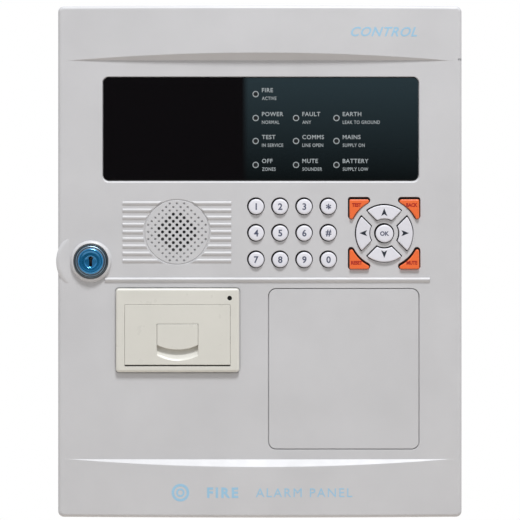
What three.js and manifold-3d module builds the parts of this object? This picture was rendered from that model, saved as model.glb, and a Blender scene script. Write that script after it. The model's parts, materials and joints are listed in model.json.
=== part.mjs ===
// Wall-mounted fire alarm control panel: a steel back box, a moulded door hinged on the
// right, and what the two of them hold.
//
// Millimetres. +X is to the right seen from the front, +Z is up and the front faces -Y.
// The origin is the centre of the back face, which lies on the wall.

import * as THREE from 'three';
import { mergeVertices } from 'three/addons/utils/BufferGeometryUtils.js';
import Module from 'manifold-3d';

// ---------------------------------------------------------------- driving dimensions

const GAP = 0.3; // space left between two pieces that touch

const PANEL = { width: 316, height: 400, corner: 4 };

const BOX = { width: 308, height: 392, depth: 70, sheet: 2, lip: 11, corner: 3 };

const DOOR = {
  rim: -BOX.depth - 1, // the rear rim's Y, 1 mm in front of the box
  depth: 33, // rim to face
  wall: 3,
  skin: 4, // thickness of the front face
  edge: 3, // radius along the front edges
  crown: 4.8, // how far the header and footer bands stand out at their middle
};

const BAND = { halfWidth: 149, headerLine: 157.2, footerLine: -154.5, slope: 6.1, end: 196 };

const HINGE = {
  x: 157.4,
  length: 58,
  centres: { upper: 127.5, lower: -119 },
  radius: 3,
  bore: 1.6,
  pin: 1.3,
  segment: 19.3, // length of each of the three knuckles
};

const WINDOW = { x: 0.7, z: 103.8, width: 247.2, height: 81.3, corner: 4.8, ledge: 5.5, pocket: 2.4 };

// Each column is [x, the number of its rows]; the shorter ones leave out the top row.
const LAMPS = {
  columns: [[-3.3, 4], [28.3, 3], [59.9, 3]],
  rows: [131, 112.3, 94.3, 75.6],
  radius: 2,
};

const SPEAKER = { x: -64.9, z: 23.1, hole: 1.2, pitchX: 2.81, pitchZ: 2.78, reach: 15 };

const KEY = { proud: 2, radius: 6, hole: 6.9, flange: 7.6, flangeThickness: 1 };
const KEY_COLUMNS = [-3.15, 15.65, 34.5, 53.4];
const KEY_ROWS = [43.3, 22.6, 1.8];
const KEY_NAMES = [
  ['key_1', 'key_2', 'key_3', 'key_star'],
  ['key_4', 'key_5', 'key_6', 'key_hash'],
  ['key_7', 'key_8', 'key_9', 'key_0'],
];

const PAD = { x: 97.2, z: 22.2, enter: 6.9, enterHole: 7.9 };
const ARROW = { outer: 22.9, inner: 11, web: 2.5, play: 0.7 };
const CORNER = { half: 27.95, tip: 2.2, tipAlong: 13.4, tipAcross: 25.75, outer: 1.7, play: 0.35 };

const RIDGE = { z: -14.4, height: 3.2, left: -122, right: 132.9, proud: 1.2 };

const LOCK = {
  x: -132,
  z: 0.2,
  grip: 27.3, // radius of the bulge round the lock
  gripProud: 0.8,
  collar: 15.6,
  collarProud: 3,
  flange: 13.3,
  body: 9.9,
  face: 10.6,
  shaft: 7,
};

const PRINTER = {
  x: -64.3,
  z: -53.7,
  width: 96.6,
  height: 65.6,
  corner: 2.6,
  flange: 3,
  body: { width: 90, height: 59, depth: 49, wall: 1.8 },
  door: { width: 82.4, bottom: -27, top: 19.9, thickness: 3, hingeY: -1.8, hingeZ: -26 },
};

// The pull tab, and the finger recess below it, whose lower edge is an arc. Z is from the lid's hinge.
const LATCH = {
  half: 15.6,
  top: 30.2,
  side: 14.4, // height of the lower edge at its ends, and at its middle
  middle: 10.8,
  pivotY: -0.1,
  pivotZ: 28.4,
  thickness: 2.8,
};
const RECESS = { half: 16.2, top: 31, arcZ: 36.4, arcRadius: 34.1, floor: 5.2 };

const PAPER = { radius: 17.5, core: 4.2, width: 57, spindle: 3.2, y: 25, z: -8.9 };

const PLATEN = { radius: 4, halfLength: 29, shaft: 1.2, y: 5, z: 15 };

const PLATE = { x: 65.6, z: -84, width: 118.4, height: 126.2, corner: 6.2, groove: 0.7, depth: 2 };

const CHASSIS = { width: 240, height: 336, front: -8, back: -6 };

const GROMMET = { x: 60, y: -35, hole: 13, bore: 8, flange: 16 };

const KEYHOLE = { x: 132, z: 165, head: 5, neck: 2.4, rise: 8 };

// ---------------------------------------------------------------- colours and finishes

const FINISH = {
  cover: { color: 0xc9c7cb, roughness: 0.45, metalness: 0 },
  steel: { color: 0xbfc0c4, roughness: 0.5, metalness: 0.3 },
  zinc: { color: 0xa9adb0, roughness: 0.35, metalness: 0.9 },
  black: { color: 0x101214, roughness: 0.08, metalness: 0 },
  board: { color: 0x1e5b3a, roughness: 0.5, metalness: 0 },
  rubber: { color: 0x2b2b2d, roughness: 0.8, metalness: 0 },
  keycap: { color: 0xe2e2e8, roughness: 0.35, metalness: 0 },
  orange: { color: 0xf0693c, roughness: 0.4, metalness: 0 },
  ivory: { color: 0xd9d5cb, roughness: 0.4, metalness: 0 },
  blue: { color: 0x1e5f96, roughness: 0.2, metalness: 0.6 },
  dark: { color: 0x3d4348, roughness: 0.35, metalness: 0.8 },
  brass: { color: 0xb08d3c, roughness: 0.3, metalness: 1 },
  paper: { color: 0xf3f2ee, roughness: 0.9, metalness: 0 },
  battery: { color: 0x3a3d40, roughness: 0.6, metalness: 0 },
  terminal: { color: 0x2f7a45, roughness: 0.5, metalness: 0 },
  silicone: { color: 0xb9babd, roughness: 0.7, metalness: 0 },
};

// ---------------------------------------------------------------- joining and cutting

const wasm = await Module();
wasm.setup();

function toSolid(geometry) {
  const bare = geometry.clone();
  bare.deleteAttribute('normal');
  bare.deleteAttribute('uv');
  const merged = mergeVertices(bare, 1e-4);
  const corners = merged.index.array;
  const kept = [];
  for (let i = 0; i < corners.length; i += 3) {
    const [a, b, c] = [corners[i], corners[i + 1], corners[i + 2]];
    if (a !== b && b !== c && c !== a) kept.push(a, b, c);
  }
  const mesh = new wasm.Mesh({
    numProp: 3,
    vertProperties: new Float32Array(merged.attributes.position.array),
    triVerts: new Uint32Array(kept),
  });
  return new wasm.Manifold(mesh);
}

function toGeometry(solid) {
  const mesh = solid.getMesh();
  const geometry = new THREE.BufferGeometry();
  geometry.setAttribute('position', new THREE.BufferAttribute(mesh.vertProperties.slice(), 3));
  geometry.setIndex(new THREE.BufferAttribute(mesh.triVerts.slice(), 1));
  geometry.computeVertexNormals();
  return geometry;
}

// One geometry out of several that overlap, less the ones in `holes`.
function shaped(pieces, holes = []) {
  const joined = pieces.map(toSolid).reduce((whole, piece) => whole.add(piece));
  return toGeometry(holes.map(toSolid).reduce((whole, hole) => whole.subtract(hole), joined));
}

// ---------------------------------------------------------------- basic shapes

// A box between two limits along each axis.
function block([x0, x1], [y0, y1], [z0, z1]) {
  const box = new THREE.BoxGeometry(x1 - x0, y1 - y0, z1 - z0);
  return box.translate((x0 + x1) / 2, (y0 + y1) / 2, (z0 + z1) / 2);
}

function roundedOutline(width, height, radius) {
  const [x, y] = [width / 2, height / 2];
  const shape = new THREE.Shape();
  shape.absarc(x - radius, y - radius, radius, 0, Math.PI / 2);
  shape.absarc(-x + radius, y - radius, radius, Math.PI / 2, Math.PI);
  shape.absarc(-x + radius, -y + radius, radius, Math.PI, 1.5 * Math.PI);
  shape.absarc(x - radius, -y + radius, radius, 1.5 * Math.PI, 2 * Math.PI);
  return shape;
}

// An outline drawn as seen from the front, X to the right and Z up, given depth along Y.
function prism(outline, front, back, curveSegments = 4) {
  const options = { depth: back - front, bevelEnabled: false, curveSegments };
  return new THREE.ExtrudeGeometry(outline, options).rotateX(Math.PI / 2).translate(0, back, 0);
}

// A section in the Y-Z plane given length along X.
function barAlongX(section, x0, x1, curveSegments = 4) {
  const options = { depth: x1 - x0, bevelEnabled: false, curveSegments };
  const turn = new THREE.Matrix4().makeBasis(
    new THREE.Vector3(0, 1, 0),
    new THREE.Vector3(0, 0, 1),
    new THREE.Vector3(1, 0, 0),
  );
  return new THREE.ExtrudeGeometry(section, options).applyMatrix4(turn).translate(x0, 0, 0);
}

// A turned shape about the Y axis. The profile holds [radius, y], and its outer side runs
// from back to front.
function turned(profile, segments) {
  const points = profile.map(([radius, y]) => new THREE.Vector2(radius, y));
  return new THREE.LatheGeometry(points.reverse(), segments);
}

const discY = (radius, front, back, segments = 16) =>
  new THREE.CylinderGeometry(radius, radius, back - front, segments).translate(0, (front + back) / 2, 0);

const rodX = (radius, x0, x1, segments = 12) =>
  new THREE.CylinderGeometry(radius, radius, x1 - x0, segments)
    .rotateZ(Math.PI / 2)
    .translate((x0 + x1) / 2, 0, 0);

const rodZ = (radius, z0, z1, segments = 10) =>
  new THREE.CylinderGeometry(radius, radius, z1 - z0, segments)
    .rotateX(Math.PI / 2)
    .translate(0, 0, (z0 + z1) / 2);

// ---------------------------------------------------------------- scene graph helpers

function piece(parent, name, geometry, finish, [x, y, z] = [0, 0, 0]) {
  const mesh = new THREE.Mesh(geometry, new THREE.MeshStandardMaterial(FINISH[finish]));
  mesh.name = name;
  mesh.position.set(x, y, z);
  parent.add(mesh);
  return mesh;
}

function groupAt(parent, x, y, z) {
  const group = new THREE.Group();
  group.position.set(x, y, z);
  parent.add(group);
  return group;
}

// ---------------------------------------------------------------- enclosure

function backBox() {
  const { width, height, depth, sheet, lip, corner } = BOX;
  const hollow = prism(roundedOutline(width - 2 * sheet, height - 2 * sheet, 1), -depth + sheet, -sheet);
  const mouth = prism(roundedOutline(width - 2 * lip, height - 2 * lip, 2), -depth - 1, -depth + 2 * sheet);
  const holes = [hollow, mouth];
  for (const side of [-1, 1]) {
    const entry = rodZ(GROMMET.hole, height / 2 - 4, height / 2 + 1, 20);
    holes.push(entry.translate(side * GROMMET.x, GROMMET.y, 0));
    for (const end of [-1, 1]) {
      const [x, z] = [side * KEYHOLE.x, end * KEYHOLE.z];
      holes.push(discY(KEYHOLE.head, -sheet - 1, 1, 12).translate(x, 0, z));
      holes.push(block([x - KEYHOLE.neck, x + KEYHOLE.neck], [-sheet - 1, 1], [z, z + KEYHOLE.rise]));
    }
  }
  return shaped([prism(roundedOutline(width, height, corner), -depth, 0)], holes);
}

// A plate on four feet, which carries the boards, the power supply and the batteries.
function chassisPlate() {
  const { width, height, front, back } = CHASSIS;
  const plate = prism(roundedOutline(width, height, 3), front, back);
  const feet = [];
  for (const x of [-1, 1]) {
    for (const z of [-1, 1]) {
      const foot = discY(5, back - 1, -BOX.sheet - GAP, 10);
      feet.push(foot.translate(x * (width / 2 - 10), 0, z * (height / 2 - 10)));
    }
  }
  return shaped([plate, ...feet]);
}

// The circuit board with its spacers, processor, relays and transformer.
function mainBoard() {
  const front = -16;
  const parts = [block([-112, 50], [front, -14.4], [10, 140])];
  for (const x of [-106, 44]) {
    for (const z of [16, 134]) parts.push(discY(3, -15, CHASSIS.front - GAP, 8).translate(x, 0, z));
  }
  parts.push(block([-40, -12], [front - 3, front + 0.5], [62, 90]));
  parts.push(block([8, 40], [front - 16, front + 0.5], [24, 50]));
  for (let i = 0; i < 4; i += 1) {
    const left = -102 + i * 22;
    parts.push(block([left, left + 16], [front - 14, front + 0.5], [96, 116]));
  }
  for (const x of [-90, -72, -54]) {
    parts.push(discY(6, front - 18, front + 0.5, 10).translate(x, 0, 34));
  }
  return shaped(parts);
}

// One strip of screw terminals, with a wire entry below each screw.
function terminalStrip() {
  const poles = 14;
  const pitch = 10;
  const front = -29;
  const left = -101;
  const body = block([left, left + poles * pitch], [front, -16 - GAP], [124, 138]);
  const holes = [];
  for (let i = 0; i < poles; i += 1) {
    const x = left + (i + 0.5) * pitch;
    holes.push(block([x - 3.2, x + 3.2], [front - 1, front + 6], [131, 136.5]));
    holes.push(block([x - 3.2, x + 3.2], [-26, -19], [123, 129]));
  }
  return shaped([body], holes);
}

// A sheet metal case with vent slots.
function powerSupply() {
  const [front, back] = [-46, CHASSIS.front - GAP];
  const slots = [];
  for (let i = 0; i < 7; i += 1) {
    slots.push(block([66, 108], [front - 1, front + 3], [50 + i * 11, 54 + i * 11]));
  }
  return shaped([block([58, 116], [front, back], [-20, 140])], slots);
}

// A sealed lead-acid battery, 97 x 43 x 54 mm, with its two terminals on top.
function battery() {
  const parts = [block([0, 97], [-43, 0], [0, 54])];
  for (const x of [12, 85]) parts.push(block([x - 2.5, x + 2.5], [-33, -32], [53, 58]));
  return shaped(parts);
}

// A strap round the front of both batteries, with a foot at each end.
function batteryBracket() {
  const [left, right] = [-113 - GAP, 87 + GAP];
  const [front, back] = [-53.6, CHASSIS.front - GAP];
  const band = [-145, -125];
  return shaped([
    block([left - 2, right + 2], [front, front + 2], band),
    block([left - 2, left], [front, back], band),
    block([right, right + 2], [front, back], band),
    block([left - 5, left], [back - 2, back], band),
    block([right, right + 9], [back - 2, back], band),
  ]);
}

// The mains switch's frame on the front of the power supply.
function rockerHousing() {
  return shaped(
    [block([-11, 11], [-6, 0], [-15, 15])],
    [block([-8, 8], [-7, -1], [-12, 12])],
  );
}

function rocker() {
  const section = new THREE.Shape();
  section.moveTo(-2.6, -10.4);
  section.lineTo(1.6, -5);
  section.lineTo(1.6, 5);
  section.lineTo(-2.6, 10.4);
  section.quadraticCurveTo(0.4, 0, -2.6, -10.4);
  return barAlongX(section, -7.4, 7.4);
}

function earthStud() {
  const screw = turned([[0, 0], [5, 0], [5, -2], [3, -2], [3, -20], [0, -20]], 12);
  const nut = discY(5.6, -12, -7, 6);
  return shaped([screw, nut]);
}

// A rubber ring whose groove grips the edge of a hole in the box's top.
function grommet() {
  const { hole, bore, flange } = GROMMET;
  const neck = hole - GAP;
  const half = BOX.sheet / 2 + GAP;
  const profile = [[bore, 3.3], [flange, 3.3], [flange, half], [neck, half]];
  profile.push([neck, -half], [flange, -half], [flange, -3.3], [bore, -3.3], [bore, 3.3]);
  return turned(profile, 16).rotateX(Math.PI / 2);
}

function hingeLeaf() {
  const { length, radius, bore, segment } = HINGE;
  const half = length / 2;
  const inner = segment / 2 + GAP;
  const parts = [block([-3.1, -1.1], [radius + 0.6, 19], [-half, half])];
  for (const [z0, z1] of [[-half, -inner], [inner, half]]) {
    parts.push(rodZ(radius, z0, z1));
    parts.push(block([-3, -1.1], [0, 6], [z0, z1]));
  }
  for (const z of [-20, 0, 20]) {
    parts.push(rodX(2.4, -2, -0.2, 6).translate(0, 12.5, z));
  }
  return shaped(parts, [rodZ(bore, -half - 1, half + 1)]);
}

function hingeKnuckle() {
  const { length, radius, bore, segment } = HINGE;
  const half = length / 2;
  const middle = [-segment / 2, segment / 2];
  return shaped(
    [
      rodZ(radius, ...middle),
      block([-5, 0], [-2.8, -0.6], middle),
      block([-5, -3], [-5, -0.6], middle),
      block([-5, -3], [-20, -4], [-half, half]),
    ],
    [rodZ(bore, -half, half)],
  );
}

function hingePin() {
  const half = HINGE.length / 2;
  return shaped([rodZ(HINGE.pin, -half - 1, half + 1), rodZ(2.6, half + GAP, half + 1.8)]);
}

// ---------------------------------------------------------------- door cover

// The outline of one arrow key, pointing up, about the pad's centre.
function arrowOutline(grow) {
  const outer = ARROW.outer + grow;
  const inner = ARROW.inner - grow;
  const web = ARROW.web - grow;
  const [far, near] = [outer, inner].map((radius) => Math.PI / 4 + Math.asin(web / radius));
  const shape = new THREE.Shape();
  shape.absarc(0, 0, outer, far, Math.PI - far);
  shape.absarc(0, 0, inner, Math.PI - near, near, true);
  return shape;
}

// The outline of the upper right corner key: a triangle with round tips and a hollow side.
function cornerOutline(grow) {
  const { half, tip, tipAlong, tipAcross, outer } = CORNER;
  const lean = Math.atan2(tipAcross, tipAlong);
  const hollow = Math.hypot(tipAcross, tipAlong) - tip - grow;
  const shape = new THREE.Shape();
  shape.absarc(tipAlong, tipAcross, tip + grow, Math.PI / 2, Math.PI + lean);
  shape.absarc(0, 0, hollow, lean, Math.PI / 2 - lean, true);
  shape.absarc(tipAcross, tipAlong, tip + grow, 1.5 * Math.PI - lean, 2 * Math.PI);
  shape.absarc(half - outer, half - outer, outer + grow, 0, Math.PI / 2);
  return shape;
}

const quarterTurns = [0, 1, 2, 3].map((turn) => (turn * Math.PI) / 2);

function keyHoles() {
  const [front, back] = [-DOOR.depth - 1, -DOOR.depth + DOOR.skin + 1];
  const holes = [];
  for (const x of KEY_COLUMNS) {
    for (const z of KEY_ROWS) holes.push(discY(KEY.hole, front, back).translate(x, 0, z));
  }
  holes.push(discY(PAD.enterHole, front, back).translate(PAD.x, 0, PAD.z));
  for (const turn of quarterTurns) {
    for (const outline of [arrowOutline(0), cornerOutline(CORNER.play)]) {
      holes.push(prism(outline, front, back).rotateY(turn).translate(PAD.x, 0, PAD.z));
    }
  }
  return holes;
}

// The round field of sound holes, on staggered rows.
function soundHoles() {
  const { x, z, hole, pitchX, pitchZ, reach } = SPEAKER;
  const [front, back] = [-DOOR.depth - 1, -DOOR.depth + DOOR.skin + 1];
  const holes = [];
  for (let i = -5; i <= 5; i += 1) {
    for (let j = -5; j <= 5; j += 1) {
      const [dx, dz] = [i * pitchX, j * pitchZ];
      if ((i + j) % 2 === 0 && Math.hypot(dx, dz) <= reach) {
        holes.push(discY(hole, front, back, 6).translate(x + dx, 0, z + dz));
      }
    }
  }
  return holes;
}

// The header or footer band: crowned across the width, with a sloping edge towards the middle.
function band(line, direction) {
  const { halfWidth, slope, end } = BAND;
  const face = -DOOR.depth;
  const section = new THREE.Shape();
  section.moveTo(-halfWidth, face + 1);
  section.lineTo(-halfWidth, face);
  section.quadraticCurveTo(0, face - 2 * DOOR.crown, halfWidth, face);
  section.lineTo(halfWidth, face + 1);
  const length = end - Math.abs(line);
  const options = { depth: length, bevelEnabled: false, curveSegments: 16 };
  const crowned = new THREE.ExtrudeGeometry(section, options);
  crowned.translate(0, 0, direction > 0 ? line : line - length);
  const wedge = new THREE.Shape();
  const reach = DOOR.crown + 1;
  wedge.moveTo(face, line);
  wedge.lineTo(face - reach, line + (direction * reach * slope) / DOOR.crown);
  wedge.lineTo(face - reach, line - direction * 3);
  wedge.lineTo(face, line - direction * 3);
  return shaped([crowned], [barAlongX(wedge, -160, 160)]);
}

// The moulded body before anything is cut, with rounded front edges.
function coverBlank() {
  const { depth, edge } = DOOR;
  const { width, height, corner } = PANEL;
  const outline = roundedOutline(width - 2 * edge, height - 2 * edge, corner - edge + 1);
  const rounding = { bevelThickness: edge, bevelSize: edge, bevelSegments: 2, curveSegments: 3 };
  const blank = new THREE.ExtrudeGeometry(outline, { depth, ...rounding });
  return blank.rotateX(Math.PI / 2).translate(0, edge, 0);
}

// What stands out of the face: both bands, the ridge, the grip's bulge and the lock's collar.
function coverRelief() {
  const face = -DOOR.depth;
  const { z, height, left, right, proud } = RIDGE;
  const ridge = prism(roundedOutline(right - left, height, height / 2 - 0.01), face - proud, face + 1);
  ridge.translate((left + right) / 2, 0, z);
  const { grip, gripProud, collar, collarProud } = LOCK;
  const bulge = turned(
    [[0, -4], [grip, -4], [grip, face + 1], [grip - 2, face - gripProud], [0, face - gripProud]],
    32,
  );
  const ring = discY(collar, face - collarProud, face + 1, 32);
  const atLock = [bulge, ring].map((part) => part.translate(LOCK.x, 0, LOCK.z));
  return [band(BAND.headerLine, 1), band(BAND.footerLine, -1), ridge, ...atLock];
}

function windowOpening() {
  const face = -DOOR.depth;
  const { x, z, width, height, corner, ledge, pocket } = WINDOW;
  const view = roundedOutline(width - 2 * ledge, height - 2 * ledge, corner - 1.8);
  return [
    prism(roundedOutline(width, height, corner), face - 1, face + pocket).translate(x, 0, z),
    prism(view, face - 1, face + DOOR.skin + 1).translate(x, 0, z),
  ];
}

function lockHoles() {
  const face = -DOOR.depth;
  return [
    discY(LOCK.flange + 0.4, face - 4, face - 0.2, 32).translate(LOCK.x, 0, LOCK.z),
    discY(LOCK.body + 0.4, face - 4, face + DOOR.skin + 1, 20).translate(LOCK.x, 0, LOCK.z),
  ];
}

// Room for the hinges in the right wall's rim.
function hingeNotches() {
  const reach = HINGE.length / 2 + 2.4;
  const heights = Object.values(HINGE.centres).map((centre) => [centre - reach, centre + reach]);
  return heights.map((limits) => block([153, 159], [-3.6, 1], limits));
}

function doorCover() {
  const { depth, wall, skin } = DOOR;
  const face = -depth;
  const inside = roundedOutline(PANEL.width - 2 * wall, PANEL.height - 2 * wall, 2);
  const recess = roundedOutline(PLATE.width, PLATE.height, PLATE.corner);
  const bin = roundedOutline(PRINTER.body.width + 1, PRINTER.body.height + 1, 1);
  return shaped([coverBlank(), ...coverRelief()], [
    block([-200, 200], [0, 20], [-250, 250]),
    prism(inside, face + skin, 1),
    prism(recess, face - 1, face + PLATE.depth).translate(PLATE.x, 0, PLATE.z),
    prism(bin, face - 1, face + skin + 1).translate(PRINTER.x, 0, PRINTER.z),
    ...windowOpening(),
    ...lockHoles(),
    ...keyHoles(),
    ...soundHoles(),
    ...hingeNotches(),
  ]);
}

// ---------------------------------------------------------------- what the door carries

function displayWindow() {
  const outline = roundedOutline(WINDOW.width - 2 * GAP, WINDOW.height - 2 * GAP, WINDOW.corner - GAP);
  return prism(outline, -32.3, -30.9).translate(WINDOW.x, 0, WINDOW.z);
}

// The screen behind the window's left half: a metal frame round the glass, and its board.
function lcdModule() {
  return shaped([
    block([-114, -12], [-30.4, -25], [72, 136]),
    block([-116, -9], [-26, -22.4], [70.5, 137.5]),
  ]);
}

function indicatorBoard() {
  const board = block([-7, 116], [-24, -22.4], [70.5, 137.5]);
  const lamps = [];
  for (const [x, rows] of LAMPS.columns) {
    for (const z of LAMPS.rows.slice(-rows)) {
      const profile = [[0, -23], [LAMPS.radius, -23], [LAMPS.radius, -28.6], [1.2, -30.2], [0, -30.4]];
      lamps.push(turned(profile, 8).translate(x, 0, z));
    }
  }
  return shaped([board, ...lamps]);
}

function keypadBoard() {
  const front = -23.2;
  return shaped([
    block([-14, 128], [front, front + 1.6], [-9, 53]),
    block([20, 34], [front + 1, front + 4], [12, 26]),
    block([60, 84], [front + 1, front + 9], [-6, 2]),
  ]);
}

// A silicone sheet with one dome under each key.
function keyMat() {
  const [front, back] = [-24.5, -23.5];
  const dome = (x, z) => discY(3, -26, front + 0.4, 6).translate(x, 0, z);
  const parts = [block([-13, 127], [front, back], [-8, 52]), dome(PAD.x, PAD.z)];
  for (const x of KEY_COLUMNS) {
    for (const z of KEY_ROWS) parts.push(dome(x, z));
  }
  for (const turn of quarterTurns) {
    const [arrow, cornerKey] = [17, 30];
    parts.push(dome(PAD.x + arrow * Math.cos(turn), PAD.z + arrow * Math.sin(turn)));
    const diagonal = turn + Math.PI / 4;
    parts.push(dome(PAD.x + cornerKey * Math.cos(diagonal), PAD.z + cornerKey * Math.sin(diagonal)));
  }
  return shaped(parts);
}

// A small loudspeaker: rim, cone basket and magnet, with the cone's hollow facing the grille.
function loudspeaker() {
  const profile = [
    [0, -10], [13, -10], [13, -16], [19, -22], [25, -26.5], [25, -28.6], [22, -28.6], [8, -22], [0, -22],
  ];
  return turned(profile, 18);
}

function blankingPlate() {
  const { width, height, corner, groove, depth } = PLATE;
  const outline = roundedOutline(width - 2 * groove, height - 2 * groove, corner - groove);
  return prism(outline, -DOOR.depth, -DOOR.depth + depth - GAP, 5);
}

// ---------------------------------------------------------------- lock

// The fixed barrel: a flange on the front of the door and a body through it.
function lockBarrel() {
  const { flange, body, face, shaft } = LOCK;
  const profile = [
    [shaft + 0.4, -3], [body, -3], [body, -33.5], [flange, -33.5], [flange, -36.6], [flange - 0.8, -37.4],
    [face + 0.4, -37.4], [face + 0.4, -35.2], [shaft + 0.4, -35.2], [shaft + 0.4, -3],
  ];
  return turned(profile, 24);
}

function lockNut() {
  return shaped([discY(14, -28.7, -24.5, 6)], [discY(LOCK.body + 0.4, -30, -23, 20)]);
}

// The turning plug: a domed face with the keyway, a shaft and a square tail.
function lockPlug() {
  const { face, shaft } = LOCK;
  const profile = [
    [0, 3], [shaft, 3], [shaft, -35.5], [face, -35.5], [face, -37.2], [face - 1.6, -38.4], [0, -38.8],
  ];
  const tail = block([-2.5, 2.5], [2, 8], [-2.5, 2.5]);
  const keyway = block([-1.1, 1.1], [-40, -22], [-4.2, 2]);
  const mouth = discY(1.7, -40, -30, 10).translate(0, 0, 2.2);
  return shaped([turned(profile, 20), tail], [keyway, mouth]);
}

// The cam on the plug's tail. It hangs down when unlocked and turns behind the box's lip.
function lockCam() {
  return shaped(
    [discY(7.5, 3.5, 6, 16), block([-4, 4], [3.5, 6], [-17, 0])],
    [block([-2.8, 2.8], [2, 9], [-2.8, 2.8])],
  );
}

// ---------------------------------------------------------------- printer

// The front frame and the paper bin behind it. Y is 0 on the cover's face.
function printerBezel() {
  const { width, height, corner, flange, body, door } = PRINTER;
  const [halfWide, halfHigh] = [body.width / 2, body.height / 2];
  const inner = halfWide - body.wall;
  const front = prism(roundedOutline(width, height, corner), -GAP - flange, -GAP);
  const bin = block([-halfWide, halfWide], [-GAP - 1, body.depth], [-halfHigh, halfHigh]);
  const hollow = block([-inner, inner], [-0.5, body.depth - body.wall], [-28.1, halfHigh - body.wall]);
  const doorway = block([-41.7, 41.7], [-5, 1], [-28.2, door.top + 0.3]);
  const hingeHoles = rodX(1.1, -43.6, 43.6, 8).translate(0, door.hingeY, door.hingeZ);
  const feedHole = discY(1.8, -5, 1, 12).translate(40.7, 0, 25.1);
  return shaped([front, bin], [hollow, doorway, hingeHoles, feedHole]);
}

// The thermal head, its frame and the paper motor, in the top of the bin.
function printerMechanism() {
  return shaped([
    block([-42.6, 42.6], [12, 37], [10.4, 26.5]),
    block([-30, 30], [9.8, 13], [11.5, 18.5]),
    rodX(6, 24, 42.6, 12).translate(0, 40, 18),
  ]);
}

// The opening for the pull tab and a fingertip, with a bowed lower edge.
function fingerRecess() {
  const { half, top, arcZ, arcRadius, floor } = RECESS;
  const spread = Math.asin(half / arcRadius);
  const outline = new THREE.Shape();
  outline.moveTo(half, top);
  outline.lineTo(-half, top);
  outline.absarc(0, arcZ, arcRadius, 1.5 * Math.PI - spread, 1.5 * Math.PI + spread);
  return prism(outline, -PRINTER.door.thickness / 2 - 1, floor, 10);
}

// The lid, about its hinge axis: a plate, a tray behind the latch and two ears for the platen.
function printerDoor() {
  const { width, bottom, top, thickness, hingeY, hingeZ } = PRINTER.door;
  const half = width / 2;
  const [front, back] = [-thickness / 2, thickness / 2];
  const [low, high] = [bottom - hingeZ, top - hingeZ];
  const [rollY, rollZ] = [PLATEN.y - hingeY, PLATEN.z - hingeZ];
  const parts = [
    block([-half, half], [front, back], [low, high]),
    block([-18.4, 18.4], [back - 0.5, 6.6], [0.8, 33]),
    rodX(0.8, -half - 1.8, half + 1.8, 8),
  ];
  const latchPivot = rodX(1, -17.6, 17.6, 8).translate(0, LATCH.pivotY, LATCH.pivotZ);
  const holes = [fingerRecess(), latchPivot];
  for (const side of [-1, 1]) {
    const [near, far] = [side * 32, side * 34.4].sort((a, b) => a - b);
    parts.push(block([near, far], [back - 0.5, rollY + 2.6], [rollZ - 6, rollZ + 2.6]));
    holes.push(rodX(PLATEN.shaft + GAP, near - 1, far + 1, 12).translate(0, rollY, rollZ));
  }
  return shaped(parts, holes);
}

// The pull tab, about its pivot near the top edge, with a bowed lower edge.
function printerLatch() {
  const { half, top, side, middle, pivotZ, thickness } = LATCH;
  const rise = side - middle;
  const radius = (half * half + rise * rise) / (2 * rise);
  const spread = Math.asin(half / radius);
  const shape = new THREE.Shape();
  shape.moveTo(half, top - pivotZ);
  shape.lineTo(-half, top - pivotZ);
  shape.absarc(0, middle - pivotZ + radius, radius, 1.5 * Math.PI - spread, 1.5 * Math.PI + spread);
  const tab = prism(shape, -thickness / 2, thickness / 2, 12);
  return shaped([tab, rodX(0.7, -half - 1.5, half + 1.5, 8)]);
}

// The rubber roller with its steel shaft and drive gear, along X.
function platenRoller() {
  const { radius, halfLength, shaft } = PLATEN;
  const profile = [
    [0, 38], [3.4, 38], [3.4, 35.5], [shaft, 35.5], [shaft, halfLength], [radius, halfLength],
    [radius, -halfLength], [shaft, -halfLength], [shaft, -35.5], [0, -35.5],
  ];
  return turned(profile, 16).rotateZ(Math.PI / 2);
}

function paperRoll() {
  const { radius, core, width } = PAPER;
  const half = width / 2;
  const profile = [[core, half], [radius, half], [radius, -half], [core, -half], [core, half]];
  return turned(profile, 20).rotateZ(Math.PI / 2);
}

// ---------------------------------------------------------------- keys

const FLANGE_FRONT = -DOOR.depth + DOOR.skin + 0.6;
const FLANGE_BACK = FLANGE_FRONT + KEY.flangeThickness;
const KEY_FRONT = -DOOR.depth - KEY.proud;

function roundKey(radius, flange) {
  const profile = [
    [0, FLANGE_BACK], [flange, FLANGE_BACK], [flange, FLANGE_FRONT], [radius, FLANGE_FRONT],
    [radius, KEY_FRONT + 0.7], [radius - 0.7, KEY_FRONT], [0, KEY_FRONT],
  ];
  return turned(profile, 12);
}

// A shaped key: a cap that fits its hole and a wider flange behind the face.
function shapedKey(outlineOf, play) {
  const cap = prism(outlineOf(-play), KEY_FRONT, FLANGE_FRONT + 0.5);
  const flange = prism(outlineOf(0.7), FLANGE_FRONT, FLANGE_BACK);
  return shaped([cap, flange]);
}

// ---------------------------------------------------------------- assembly

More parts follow.
